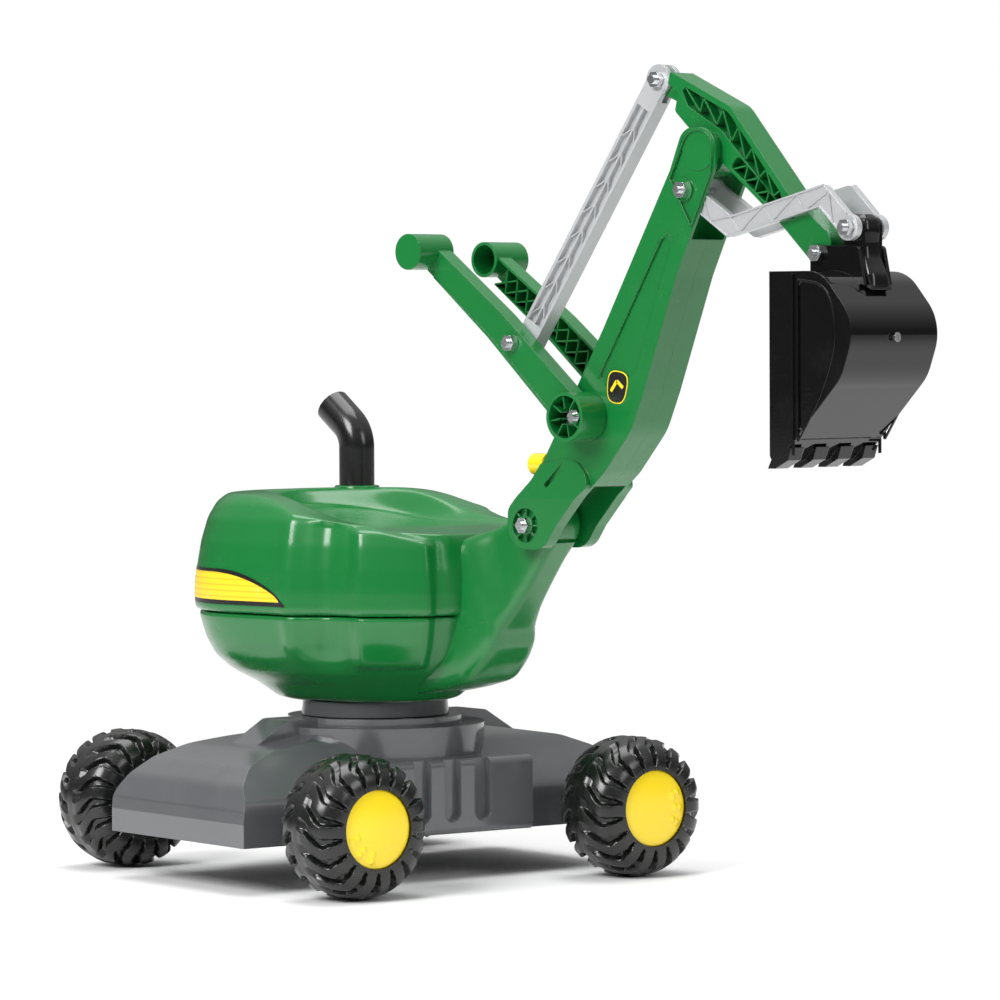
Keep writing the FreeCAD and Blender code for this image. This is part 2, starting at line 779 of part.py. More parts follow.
def boom_hollow():
    """The space between the boom's two side walls, open at both ends."""
    px, pz = S.boom_pin_x, S.boom_pin_z
    ax, az = S.stick_pin_x, S.stick_pin_z
    wall = S.boom_wall
    return rounded([
        (px - 60, pz - 60, 0),
        (px + 80, pz - 60, 0),
        (px + 54, pz + 12, 0),
        (px + 86 - wall, pz + 47 + wall, 40),
        (px + 118 - wall, pz + 84 + wall, 50),
        (px + 133 - wall, pz + 118, 60),
        (px + 169 - wall, pz + 217, 60),
        (px + 180, S.front_open_z, 0),
        (ax + 60, S.front_open_z, 0),
        (ax + 60, az + 60, 0),
        (ax - 80, az + 60, 0),
        (ax - 80, S.rear_open_z, 0),
        (ax - 56 + wall, S.rear_open_z, 0),
        (px + 86 + wall, pz + 171, 160),
        (px + 14 + wall, pz + 54, 60),
        (px + 8, pz + 44, 0),
        (px - 60, pz + 44, 0),
    ])


def head_pocket():
    """Shallow pocket on the outside of the boom's head, pointed at its lower end."""
    ax, az = S.stick_pin_x, S.stick_pin_z
    top = S.boom_top_radius - S.rim
    return rounded([
        (ax - top, az + top, top - 1),
        (ax + top, az + top, top - 1),
        (ax + top - 2, az - 18, 20),
        (ax - 7, az - 66, 3),
        (ax - 31, az - 22, 8),
    ])


def long_panel():
    """Long recess on the outside of the boom, with a rounded upper end."""
    px, pz = S.boom_pin_x, S.boom_pin_z
    return rounded([
        (px + 154, pz + 252, 5),
        (px + 166, pz + 245, 5),
        (px + 121, pz + 130, 14),
        (px + 79, pz + 127, 4),
    ])


def spoke(x, z, angle):
    """A thin rib across a ring, turned about its middle."""
    turn = math.radians(angle)
    along = Vector(math.cos(turn), 0, math.sin(turn)) * (S.ring_radius + 0.5)
    beside = Vector(-math.sin(turn), 0, math.cos(turn)) * (S.ring_rib / 2)
    corners = (along + beside, beside - along, -along - beside, along - beside)
    return rounded([(x + corner.x, z + corner.z, 0) for corner in corners])


def make_boom_half(label, side):
    """One half of the boom: side wall, edge walls, the flared foot and the bosses at its pivots."""
    px, pz = S.boom_pin_x, S.boom_pin_z
    ax, az = S.stick_pin_x, S.stick_pin_z
    half_width = S.boom_half

    def span(low, high):
        return (low, high) if side > 0 else (-high, -low)

    half = Piece(label)
    half.pad_side(boom_outline(), *span(0, half_width))
    half.pad_side(boom_outline(low=True), *span(0, S.cheek_half))
    half.cut_across(rounded([
        (side * half_width, pz + 63, 0),
        (side * half_width, pz + 80, 0),
        (side * (S.cheek_half + 2), pz + 80, 0),
        (side * (S.cheek_half + 2), pz + 16, 0),
    ]), px - 60, px + 100)
    half.cut_side(boom_hollow(), *span(-1, half_width - S.boom_wall))
    half.cut_side(circle(px, pz, S.tongue_boss + 3), *span(-1, S.cheek_inner))
    head = S.boom_top_radius
    half.pad_side(capsule(ax, az, ax - 6, az - 14, head), *span(half_width - S.boom_wall, S.head_half))
    half.cut_side(head_pocket(), *span(S.head_half - S.pocket_depth, S.head_half + 1))
    half.cut_side(long_panel(), *span(half_width - S.panel_depth, half_width + 1))
    ring = circle(px, pz, S.ring_radius) + circle(px, pz, S.washer_face)
    half.cut_side(ring, *span(S.cheek_half - S.ring_depth, S.cheek_half + 1))
    for i in range(4):
        half.pad_side(spoke(px, pz, 45 * i), *span(S.cheek_half - S.ring_depth - 1, S.cheek_half - 1))
    half.cut_side(capsule(px + 40, pz + 54, px + 23, pz + 36, 2.6), *span(S.cheek_half - 8, S.cheek_half + 1))
    boss_face = S.stick_half + S.cheek_gap
    half.pad_side(circle(ax, az, head - 1), *span(boss_face, half_width))
    link_face = S.stick_half + S.link_gap + S.link_thick + S.link_gap
    half.pad_side(circle(S.link_pin_x, S.link_pin_z, 10), *span(link_face, S.head_half))
    half.pad_side(circle(S.lever_pin_x, S.lever_pin_z, 12), *span(0, half_width - 1))
    half.cut_side(circle(px, pz, S.pin_radius + S.pin_fit), *span(S.cheek_inner - 1, S.cheek_half + 1))
    half.cut_side(circle(ax, az, S.pin_radius + S.pin_fit), *span(boss_face - 1, S.head_half - 2))
    half.cut_side(circle(S.link_pin_x, S.link_pin_z, S.small_pin_radius + S.pin_fit),
                  *span(0, S.head_half + 1))
    half.cut_side(circle(S.lever_pin_x, S.lever_pin_z, S.pin_radius + S.pin_fit),
                  *span(-1, half_width + 1))
    half.cut_across(circle(0, S.lock_z, S.stem_radius + S.run_gap), px - 10, px + 40)
    half.place()


def make_boom():
    """Two boom halves, clamped together by the pivot bolts."""
    for label, side in (("boom_half_left", 1), ("boom_half_right", -1)):
        make_boom_half(label, side)


# ---------------------------------------------------------------- levers
def lever_outline(inset=0.0):
    """Side outline of a lever arm between its grip and its hub."""
    gx, gz = S.grip_x, S.grip_z
    ex, ez = S.lever_pin_x, S.lever_pin_z
    return rounded([
        (gx - 8 + inset, gz - 9 - inset, 4),
        (gx + 76, gz - 76 + inset, 60),
        (ex - 14, ez - 6 + inset, 8),
        (ex + 8, ez + 16 - inset, 8),
        (gx + 94, gz - 56 - inset, 60),
        (gx + 8, gz + 7 - inset, 4),
    ])


def make_lever(label, side):
    """One lever: smooth outside, ribbed inside, a hollow grip and a hub that stands on the boom."""
    inner, outer = S.lever_inner, S.lever_inner + S.lever_thick
    ex, ez = S.lever_pin_x, S.lever_pin_z
    gx, gz = S.grip_x, S.grip_z
    wall = S.lever_wall

    def span(low, high):
        return (low, high) if side > 0 else (-high, -low)

    lever = Piece(label)
    lever.pad_side(lever_outline(), *span(inner, outer))
    lever.cut_side(lever_outline(wall), *span(inner - 1, outer - wall))
    lever.cut_side(lever_outline(S.rim), *span(outer - 1.0, outer + 1))
    hub_face = S.boom_half if side > 0 else S.boom_half + S.ear_gap
    hub_bore = S.pin_radius if side > 0 else S.pin_radius + S.pin_fit
    lever.pad_side(circle(ex, ez, S.lever_hub), *span(hub_face, S.lever_hub_end))
    lever.cut_side(circle(ex, ez, S.lever_hub - wall), *span(outer - 16, S.lever_hub_end + 1))
    lever.pad_side(circle(ex, ez, 8), *span(outer - 17, outer - 10))
    if side < 0:
        lever.pad_side(circle(S.rod_pin_x, S.rod_pin_z, S.washer_face), *span(inner, outer))
    lever.pad_side(circle(gx, gz, S.grip_radius), *span(S.grip_inner, S.grip_outer))
    lever.cut_side(circle(gx, gz, S.grip_bore), *span(S.grip_inner - 1, S.grip_outer - wall))
    lever.cut_side(circle(ex, ez, hub_bore), *span(S.boom_half - 1, S.lever_hub_end + 1))
    if side < 0:
        lever.cut_side(circle(S.rod_pin_x, S.rod_pin_z, S.pin_radius), *span(inner - 1, outer + 1))
        lever.place()
        return
    turn = Rotation(Vector(0, 1, 0), -S.left_lever_turn)
    shift = Vector(ex, 0, ez) - turn.multVec(Vector(ex, 0, ez))
    lever.place(shift.x, shift.y, shift.z, turn)


# ---------------------------------------------------------------- rod
def make_rod():
    """Ribbed push rod: it leans from the right lever to the stick's tail, which its fork straddles."""
    half, width = S.rod_half, S.rod_width / 2
    run = Vector(S.rod_top_x - S.rod_pin_x, 0, S.rod_top_z - S.rod_pin_z)
    length = run.Length
    foot = S.rod_foot_y

    def lean(along):
        return foot * (1 - along / length)

    def band(start, stop, low, high):
        return rounded([
            (start, lean(start) + low, 0),
            (stop, lean(stop) + low, 0),
            (stop, lean(stop) + high, 0),
            (start, lean(start) + high, 0),
        ])

    rod = Piece("rod")
    rod.pad_up(band(0, length, -half, half), -width, width)
    rod.pad_side(circle(0, 0, width), foot - half, foot + half)
    rod.pad_side(circle(length, 0, S.rod_eye), -half, half)
    for low, high in ((-half - 2, -half + 5), (half - 5, half + 2)):
        rod.cut_up(band(20, length - 28, low, high), -width + 3, width - 3)
    tab = half - S.rod_tab
    rod.cut_side(capsule(length - 6, 0, length + 30, 0, S.rod_eye + 2), -tab, tab)
    rod.cut_side(circle(length, 0, S.pin_radius + S.rod_eye_gap), -half - 1, half + 1)
    rod.cut_side(circle(0, 0, S.washer_face + 1), foot + half, foot + half + 8)
    rod.cut_side(circle(length, 0, S.washer_face + 1), -half - 8, -half)
    rod.cut_side(circle(0, 0, S.pin_radius + S.pin_fit), foot - half - 1, foot + half + 1)
    tilt = math.degrees(math.atan2(run.z, run.x))
    rod.place(S.rod_pin_x, 0, S.rod_pin_z, Rotation(Vector(0, 1, 0), -tilt))


# ---------------------------------------------------------------- stick
def make_stick():
    """Cranked stick: channelled on both sides, with a thin tail in the rod's fork."""
    ax, az = S.stick_pin_x, S.stick_pin_z
    cx, cz = S.bucket_pin_x, S.bucket_pin_z
    gx, gz = S.rod_top_x, S.rod_top_z
    half = S.stick_half
    stick = Piece("stick")
    outline = [
        (ax - 40, az + 68, 2),
        (ax + 28, az + 36, 24),
        (ax + 93, az - 40, 40),
        (cx + 17, cz + 10, 14),
        (cx - 3, cz - 14, 12),
        (cx - 46, cz + 27, 40),
        (ax + 22, az - 14, 10),
        (ax - 21, az + 21, 6),
        (ax - 35, az + 34, 4),
        (ax - 31, az + 50, 4),
        (ax - 43, az + 58, 2),
    ]
    stick.pad_side(rounded(outline), -half, half)
    stick.pad_side(circle(ax, az, S.stick_lobe), -half, half)
    stick.pad_side(circle(cx, cz, S.stick_end), -half, half)
    tail = S.rod_half - S.rod_tab - 0.6
    stick.pad_side(capsule(gx, gz, gx + 36, gz - 16, S.rod_eye - 3), -tail, tail)
    upper = [
        (ax - 29, az + 57, 3),
        (ax + 26, az + 31, 20),
        (cx - 40, cz + 46, 4),
        (cx - 25, cz + 34, 4),
        (cx - 32, cz + 28, 4),
        (ax + 18, az + 16, 20),
        (ax - 20, az + 38, 4),
    ]
    lower = [
        (ax + 37, az - 6, 4),
        (ax + 65, az - 31, 4),
        (cx - 34, cz + 29, 3),
        (cx - 43, cz + 29, 3),
        (ax + 28, az - 15, 4),
    ]
    depth = half - S.stick_web / 2
    for pocket in (upper, lower):
        for low, high in ((-half - 1, -half + depth), (half - depth, half + 1)):
            stick.cut_side(rounded(pocket), low, high)
    for x, z, radius in ((ax, az, S.pin_radius), (cx, cz, S.small_pin_radius)):
        stick.cut_side(circle(x, z, radius + S.pin_fit), -half - 1, half + 1)
    stick.cut_side(circle(gx, gz, S.pin_radius), -tail - 1, tail + 1)
    stick.place()


# ---------------------------------------------------------------- links
def link_centreline():
    """Corner points of a link's centre line, from the boom pin to the bucket pin."""
    bx, bz = S.link_pin_x, S.link_pin_z
    dx, dz = S.link_end_x, S.link_end_z
    return [(bx, bz), (bx + 49, bz - 32), (dx - 28, dz + 27), (dx, dz)]


def offset_line(points, distance):
    """The points of an open polyline moved sideways, mitred at its corners."""
    moved = []
    for i, point in enumerate(points):
        here = Vector(*point, 0)
        ways = []
        if i > 0:
            ways.append((here - Vector(*points[i - 1], 0)).normalize())
        if i < len(points) - 1:
            ways.append((Vector(*points[i + 1], 0) - here).normalize())
        normals = [Vector(-way.y, way.x, 0) for way in ways]
        mean = sum(normals[1:], normals[0])
        mean.normalize()
        moved.append(here + mean * (distance / mean.dot(normals[0])))
    return moved


def make_link(label, side):
    """One cranked link beside the stick, with a shallow channel on its outer face."""
    inner = S.stick_half + S.link_gap
    outer = inner + S.link_thick
    line = link_centreline()
    half = S.link_width / 2

    def band(width, radius):
        left = offset_line(line, width)
        right = offset_line(line, -width)
        corners = [(p.x, p.y, radius if 0 < i < 3 else 0) for i, p in enumerate(left)]
        corners += [(p.x, p.y, radius if 0 < i < 3 else 0) for i, p in reversed(list(enumerate(right)))]
        return rounded(corners)

    def span(low, high):
        return (low, high) if side > 0 else (-high, -low)

    link = Piece(label)
    link.pad_side(band(half, 9), *span(inner, outer))
    link.pad_side(circle(*line[0], half + 1), *span(inner, outer))
    link.pad_side(circle(*line[-1], S.link_eye), *span(inner, outer))
    link.cut_side(circle(*line[0], S.small_pin_radius + S.pin_fit), *span(inner - 1, outer + 1))
    link.cut_side(circle(*line[-1], S.small_pin_radius + S.link_eye_gap), *span(inner - 1, outer + 1))
    link.place()


# ---------------------------------------------------------------- bucket
def bucket_outline(inset):
    """Side outline of the bucket: a flat mouth, a round back and a sloping floor."""
    front, back = S.bucket_front, S.bucket_back - inset
    top, low = S.bucket_top - inset, S.bucket_low + inset
    mouth = front if inset == 0 else front - 20
    return rounded([
        (mouth, top, 0),
        (back - 36, top, 34),
        (back + 2, top - 44, 40),
        (back - 14, top - 88, 40),
        (front + 10 - inset * 0.4, low, 5),
        (mouth, low, 0 if inset else 6),
    ])


def make_bucket():
    """Bucket back with its ears and horn, the toothed front frame, and its screw."""
    half, wall = S.bucket_half, S.bucket_wall
    front, top, low = S.bucket_front, S.bucket_top, S.bucket_low
    cx, cz = S.bucket_pin_x, S.bucket_pin_z
    dx, dz = S.link_end_x, S.link_end_z
    seam = S.bucket_seam
    shell = Piece("bucket_shell")
    shell.pad_side(bucket_outline(0), -half, half)
    shell.cut_side(bucket_outline(wall), -half + wall, half - wall)
    shell.cut_side(box_outline(front - 30, low - 10, seam, top + 10), -half - 1, half + 1)
    ear_in = S.stick_half + S.ear_gap
    for side in (-1, 1):
        span = sorted((side * ear_in, side * (ear_in + S.ear_thick)))
        shell.pad_side(rounded([
            (cx - 8, top - 1, 0),
            (cx - 8, S.ear_top + 2, 7),
            (cx + 16, S.ear_top, 4),
            (dx + 9, S.ear_top, 4),
            (dx + 16, top - 12, 0),
        ]), *span)
    shell.cut_side(box_outline(cx - 10, top - 20, seam, top), -ear_in - S.ear_thick - 1,
                   ear_in + S.ear_thick + 1)
    shell.pad_side(rounded([
        (dx - S.horn_radius, top - 3, 0),
        (dx - S.horn_radius, dz + S.horn_radius, S.horn_radius - 1),
        (dx + S.horn_radius, dz + S.horn_radius, S.horn_radius - 1),
        (dx + S.horn_radius, top + 10, 10),
        (dx + 20, top - 16, 0),
    ]), -ear_in + S.ear_horn_gap, ear_in - S.ear_horn_gap)
    shell.cut_side(circle(cx, cz, S.small_pin_radius), -ear_in - S.ear_thick - 1, ear_in + S.ear_thick + 1)
    shell.cut_side(circle(dx, dz, S.small_pin_radius), -ear_in - 1, ear_in + 1)
    shell.cut_across(circle(0, top - 55, S.screw_radius), S.bucket_back - 20, S.bucket_back + 10)
    for low_y, high_y in ((-half - 1, -half + 1), (half - 1, half + 1)):
        shell.cut_side(rounded([
            (seam + 4, top - 8, 4),
            (seam + 34, top - 12, 24),
            (seam + 44, top - 50, 30),
            (seam + 31, low + 58, 40),
            (seam + 4, low + 17, 4),
        ]), low_y, high_y)
    shell.place()

    frame = Piece("bucket_front")
    seam_in = seam - S.seam_gap
    frame.pad_side(bucket_outline(0), -half, half)
    frame.cut_side(bucket_outline(wall), -half + wall, half - wall)
    frame.cut_side(box_outline(seam_in, low - 10, S.bucket_back + 10, top + 10), -half - 1, half + 1)
    pitch = (2 * half - S.tooth_width) / (S.tooth_count - 1)
    for i in range(int(S.tooth_count)):
        middle = -half + S.tooth_width / 2 + i * pitch
        frame.pad_side(rounded([
            (front + 24, low + 12, 0),
            (front + 20, low + 1, 0),
            (front + 6, low - S.tooth_long + 3, 0),
            (front - 2, low - S.tooth_long + 3, 0),
            (front + 2, low + 2, 0),
        ]), middle - S.tooth_width / 2, middle + S.tooth_width / 2)
    frame.place()

    screw = Piece("bucket_screw")
    x_out = S.bucket_back - 1.0
    screw.pad_across(circle(0, top - 55, S.screw_radius - 0.05), x_out - S.screw_length, x_out)
    screw.pad_across(circle(0, top - 55, S.screw_radius * 2), x_out, x_out + 1.0)
    screw.place()


# ---------------------------------------------------------------- fasteners
def make_fasteners():
    """Pivot bolts and their nuts: each bolt is named for the pivot that it makes."""
    stick_side = S.stick_half + S.ear_gap + S.ear_thick
    link_side = S.stick_half + S.link_gap + S.link_thick + S.ear_gap
    hub_face = S.lever_inner + S.lever_thick - 10
    lever_face = S.lever_inner + S.lever_thick
    big, small = S.pin_radius, S.small_pin_radius
    tail = S.rod_half + S.ear_gap
    specs = [
        ("boom_pivot_bolt", S.boom_pin_x, S.boom_pin_z, big, -S.cheek_half, S.cheek_half, "boom"),
        ("link_pivot_bolt", S.link_pin_x, S.link_pin_z, small, -S.head_half, S.head_half, "boom"),
        ("lever_pivot_bolt", S.lever_pin_x, S.lever_pin_z, big, -hub_face, hub_face, "boom"),
        ("rod_foot_bolt", S.rod_pin_x, S.rod_pin_z, big, -lever_face,
         S.rod_foot_y + S.rod_half + S.ear_gap, "lever"),
        ("rod_top_bolt", S.rod_top_x, S.rod_top_z, big, -tail, tail, "stick"),
        ("bucket_pivot_bolt", S.bucket_pin_x, S.bucket_pin_z, small, -stick_side, stick_side, "bucket"),
        ("link_end_bolt", S.link_end_x, S.link_end_z, small, -link_side, link_side, "bucket"),
    ]
    nuts = {}
    for label, x, z, radius, nut_face, head_face, owner in specs:
        bolt(label, x, z, radius, nut_face, head_face)
        nuts.setdefault(owner, []).append(hexagon(x, z, nut_face - S.nut_thick, nut_face, radius))
    for owner, shapes in nuts.items():
        group(f"nuts_{owner}", shapes)
    pin = Piece("stick_pivot_pin")
    end = S.head_half - 2.5
    pin.pad_side(circle(0, 0, big), -end, end)
    pin.place(S.stick_pin_x, 0, S.stick_pin_z)


def make_knob():
    """Lock knob on the boom's rear wall: a round cap on a plunger."""
    knob = Piece("lock_knob")
    tip = S.knob_tip_x
    knob.pad_across(circle(0, S.lock_z, S.knob_radius), tip, tip + S.knob_length)
    knob.pad_across(circle(0, S.lock_z, S.stem_radius), tip + S.knob_length, tip + 56)
    knob.pad_across(circle(0, S.lock_z, S.stem_radius + 2.5), tip + 53, tip + 56)
    knob.place()


# ---------------------------------------------------------------- build
def check_document():
    """Stop if any object failed to build or any node's shape is unusable."""
    for thing in DOC.Objects:
        if "Invalid" in thing.State or "Error" in thing.State:
            raise RuntimeError(f"{thing.Label} did not build: {thing.State}")
    for node in NODES:
        if node.Shape.isNull() or not node.Shape.isValid():
            raise RuntimeError(f"{node.Label} has no valid shape")


def export():
    """Write one STEP file for each node."""
    os.makedirs("parts", exist_ok=True)
    for node in NODES:
        node.Shape.exportStep(f"parts/{node.Label}.step")
        box = node.Shape.BoundBox
        print(f"{node.Label:20s} solids {len(node.Shape.Solids)} "
              f"x {box.XMin:7.1f} {box.XMax:7.1f} y {box.YMin:7.1f} {box.YMax:7.1f} "
              f"z {box.ZMin:7.1f} {box.ZMax:7.1f}")


fill_sheet()
make_chassis()
make_slewing()
make_axles()
for wheel, side_a, side_b in (("front_left", -1, 1), ("front_right", 1, 1),
                              ("rear_left", -1, -1), ("rear_right", 1, -1)):
    make_wheel(wheel, side_a, side_b)
make_body()
make_exhaust()
make_boom()
make_lever("lever_left", 1)
make_lever("lever_right", -1)
make_rod()
make_stick()
make_link("link_left", 1)
make_link("link_right", -1)
make_bucket()
make_fasteners()
make_knob()
DOC.recompute()
check_document()
export()
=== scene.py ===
# %% [markdown]
# # A ride-on toy digger
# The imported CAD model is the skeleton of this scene. Every CAD solid arrives as an object at the
# origin with its place in its vertices, so a new piece only has to be worked out in the same
# coordinates to sit where it should.
# %% Load the frame
import json
import math

import bpy
import numpy as np
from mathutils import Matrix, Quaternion, Vector


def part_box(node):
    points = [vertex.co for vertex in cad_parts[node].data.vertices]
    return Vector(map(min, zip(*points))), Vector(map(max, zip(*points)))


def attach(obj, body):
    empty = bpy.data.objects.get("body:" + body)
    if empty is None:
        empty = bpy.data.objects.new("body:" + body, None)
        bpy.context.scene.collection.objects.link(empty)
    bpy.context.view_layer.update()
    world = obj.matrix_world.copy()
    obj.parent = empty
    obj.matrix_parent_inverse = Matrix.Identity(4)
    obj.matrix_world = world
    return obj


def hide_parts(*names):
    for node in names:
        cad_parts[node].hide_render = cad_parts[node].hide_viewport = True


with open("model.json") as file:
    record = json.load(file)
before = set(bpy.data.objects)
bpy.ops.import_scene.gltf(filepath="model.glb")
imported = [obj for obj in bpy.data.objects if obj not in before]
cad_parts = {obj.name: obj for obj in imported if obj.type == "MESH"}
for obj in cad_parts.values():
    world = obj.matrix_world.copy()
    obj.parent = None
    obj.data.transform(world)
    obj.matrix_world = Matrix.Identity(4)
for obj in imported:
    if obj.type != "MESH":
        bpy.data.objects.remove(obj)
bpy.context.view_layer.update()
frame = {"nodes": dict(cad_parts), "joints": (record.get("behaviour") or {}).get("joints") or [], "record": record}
NODES = frame["nodes"]
JOINTS = {joint["name"]: joint for joint in frame["joints"]}
MM = 0.001
print("loaded", len(NODES), "CAD nodes")

# %% [markdown]
# The body turns on a vertical bolt. Lengths below are millimetres measured from that bolt's line
# and up from the floor, and `at` turns an array of them into metres in the frame. The chassis is
# turned a little under the body, so the axles have a direction of their own.
# %% Places on the toy
turntable_low, turntable_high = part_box("turntable")
SLEW_X = (turntable_low.x + turntable_high.x) / 2 / MM
CHASSIS_TURN = math.radians(-9.27)
ALONG = np.array([math.cos(CHASSIS_TURN), math.sin(CHASSIS_TURN), 0.0])
UP = np.array([0.0, 0.0, 1.0])


def at(points):
    """Millimetres from the slew bolt's line to metres in the frame."""
    return (np.asarray(points, float) + np.array([SLEW_X, 0.0, 0.0])) * MM


def smooth(value, low, high):
    """0 below low, 1 above high, and 3t^2 - 2t^3 between, where t is the share of the way."""
    t = np.clip((value - low) / (high - low), 0.0, 1.0)
    return t * t * (3 - 2 * t)


print(f"slew line at X = {SLEW_X:.1f} mm")

# %% [markdown]
# A new surface is a grid of points: rows run one way and columns the other, and each square of
# four neighbours becomes a face. `closed_grid` joins the columns into a ring and closes the first
# and the last row with a middle point each; `open_grid` leaves them as they are. The volume under
# the faces, by the divergence theorem, says whether they point outwards; if it is negative they
# are turned over.
# %% Grids into meshes
def outward(points, faces):
    """Turns faces over if the volume they enclose, a sum of signed tetrahedra, is negative."""
    fan = faces[:, [0, 1, 2]]
    corners = points[fan]
    if faces.shape[1] == 4:
        corners = np.concatenate([corners, points[faces[:, [0, 2, 3]]]])
    volume = np.einsum("ij,ij->i", corners[:, 0], np.cross(corners[:, 1], corners[:, 2])).sum()
    return faces[:, ::-1] if volume < 0 else faces


def make_piece(name, points, faces, material, body, slot, sharp):
    """Puts arrays into a mesh object that rides on a CAD body. Edges bent by more than `sharp`
    degrees stay crisp."""
    mesh = bpy.data.meshes.new(name)
    mesh.from_pydata(points.tolist(), [], faces.tolist())
    mesh.shade_smooth()
    mesh.set_sharp_from_angle(angle=math.radians(sharp))
    mesh.materials.append(material)
    piece = bpy.data.objects.new(name, mesh)
    bpy.context.scene.collection.objects.link(piece)
    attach(piece, body)
    return piece


def grid_faces(rows, columns, ring):
    """Corner numbers of every square of a grid, whose last column may join the first."""
    row = np.arange(rows - 1)[:, None] * columns
    column = np.arange(columns if ring else columns - 1)[None, :]
    beside = (column + 1) % columns
    return np.stack([row + column, row + beside, row + columns + beside, row + columns + column],
                    axis=-1).reshape(-1, 4)


def closed_grid(grid):
    """Points and triangles of a ring-shaped grid with a middle point over each end row."""
    rows, columns, _ = grid.shape
    points = np.concatenate([grid.reshape(-1, 3), grid[0].mean(0)[None], grid[-1].mean(0)[None]])
    squares = grid_faces(rows, columns, True)
    sides = np.concatenate([squares[:, [0, 1, 2]], squares[:, [0, 2, 3]]])
    start = np.arange(columns)
    beside = (start + 1) % columns
    first = np.stack([np.full(columns, rows * columns), beside, start], axis=1)
    base = (rows - 1) * columns
    last = np.stack([np.full(columns, rows * columns + 1), base + start, base + beside], axis=1)
    return points, outward(points, np.concatenate([sides, first, last]))


def open_grid(grid):
    """Points and squares of a grid that isn't joined up."""
    rows, columns, _ = grid.shape
    return grid.reshape(-1, 3), grid_faces(rows, columns, False)


print("a 3 by 4 grid has", len(grid_faces(3, 4, False)), "squares, as a ring",
      len(grid_faces(3, 4, True)))

# %% [markdown]
# Shader sums are written as Python. `Value` wraps one output socket, and its operators add Math
# nodes, so `1 - mask * 0.5` builds the same nodes that a person would wire by hand.
# %% Shader sums
class Value:
    """One socket of a node tree that can be added, multiplied and compared."""

    def __init__(self, shader, socket):
        self.shader = shader
        self.socket = socket

    def _math(self, operation, *inputs):
        return self.shader.node("ShaderNodeMath", dict(operation=operation),
                                dict(enumerate(inputs)))

    def __add__(self, other):
        return self._math("ADD", self, other)

    def __radd__(self, other):
        return self._math("ADD", other, self)

    def __sub__(self, other):
        return self._math("SUBTRACT", self, other)

    def __rsub__(self, other):
        return self._math("SUBTRACT", other, self)

    def __mul__(self, other):
        return self._math("MULTIPLY", self, other)

    def __rmul__(self, other):
        return self._math("MULTIPLY", other, self)

    def ramp(self, low, high):
        """0 at low, 1 at high, straight between and held outside."""
        return self.shader.node("ShaderNodeMapRange", dict(clamp=True),
                                {0: self, 1: low, 2: high, 3: 0.0, 4: 1.0})

    def out(self, name):
        """Another output of the same node."""
        return Value(self.shader, self.socket.node.outputs[name])


class Shader:
    """The node tree of a material or a world, with one method for every kind of node."""

    def __init__(self, owner):
        owner.use_nodes = True
        self.owner = owner
        self.tree = owner.node_tree
        self.tree.nodes.clear()
        self.place = self.node("ShaderNodeTexCoord", {}, {}).out("Object")

    def node(self, kind, settings, inputs):
        """Adds a node: its settings first, then a number or a link for each socket."""
        made = self.tree.nodes.new(kind)
        for key, setting in settings.items():
            setattr(made, key, setting)
        for key, value in inputs.items():
            if isinstance(value, Value):
                self.tree.links.new(value.socket, made.inputs[key])
            else:
                made.inputs[key].default_value = value
        return Value(self, made.outputs[0]) if len(made.outputs) else made

    def noise(self, scale, detail=3.0, roughness=0.5, stretch=(1, 1, 1)):
        """Noise on object coordinates; stretch above 1 packs it tighter that way."""
        spot = self.node("ShaderNodeMapping", {}, {"Vector": self.place, "Scale": stretch})
        return self.node("ShaderNodeTexNoise", {},
                         {"Vector": spot, "Scale": scale, "Detail": detail, "Roughness": roughness})

    def blend(self, share, first, second):
        """Mixes two colours by a share."""
        mixed = self.node("ShaderNodeMix", dict(data_type="RGBA"), {0: share, 6: first, 7: second})
        return Value(self, mixed.socket.node.outputs[2])

    def bumps(self, height, distance, strength=1.0, edge=0.0):
        """A normal from a height, over edges that look rounded to a radius."""
        inputs = {"Height": height, "Distance": distance, "Strength": strength}
        if edge:
            inputs["Normal"] = self.node("ShaderNodeBevel", dict(samples=4), {"Radius": edge})
        return self.node("ShaderNodeBump", {}, inputs)

    def finish(self, **sockets):
        """The Principled shader at the end, with its sockets by their names in the panel."""
        settings = {key.replace("_", " "): value for key, value in sockets.items()}
        surface = self.node("ShaderNodeBsdfPrincipled", {}, settings)
        self.node("ShaderNodeOutputMaterial", {}, {"Surface": surface})
        return self.owner


def new_shader(name):
    """The shader of a new material."""
    return Shader(bpy.data.materials.new(name))


print("helpers:", Value.__name__, Shader.__name__)

# %% [markdown]
# ## Plastics
# A blow-moulded toy shell is glossy but never perfectly even: the mould leaves a fine grain of
# about a millimetre, the wall shrinks a little, so broad reflections wander, and play leaves dull
# rubbed patches and hair scratches. Each of these is one noise at its own size. They are mixed by
# one function, and each plastic chooses how much of each it shows.
# %% Plastic maker
DRIFT, RUBBED, SCRATCHES, GRAIN, WAVES = 7.0, 23.0, 45.0, 900.0, 14.0
RELIEF = 0.6 * MM
DUST = (0.30, 0.29, 0.27, 1.0)


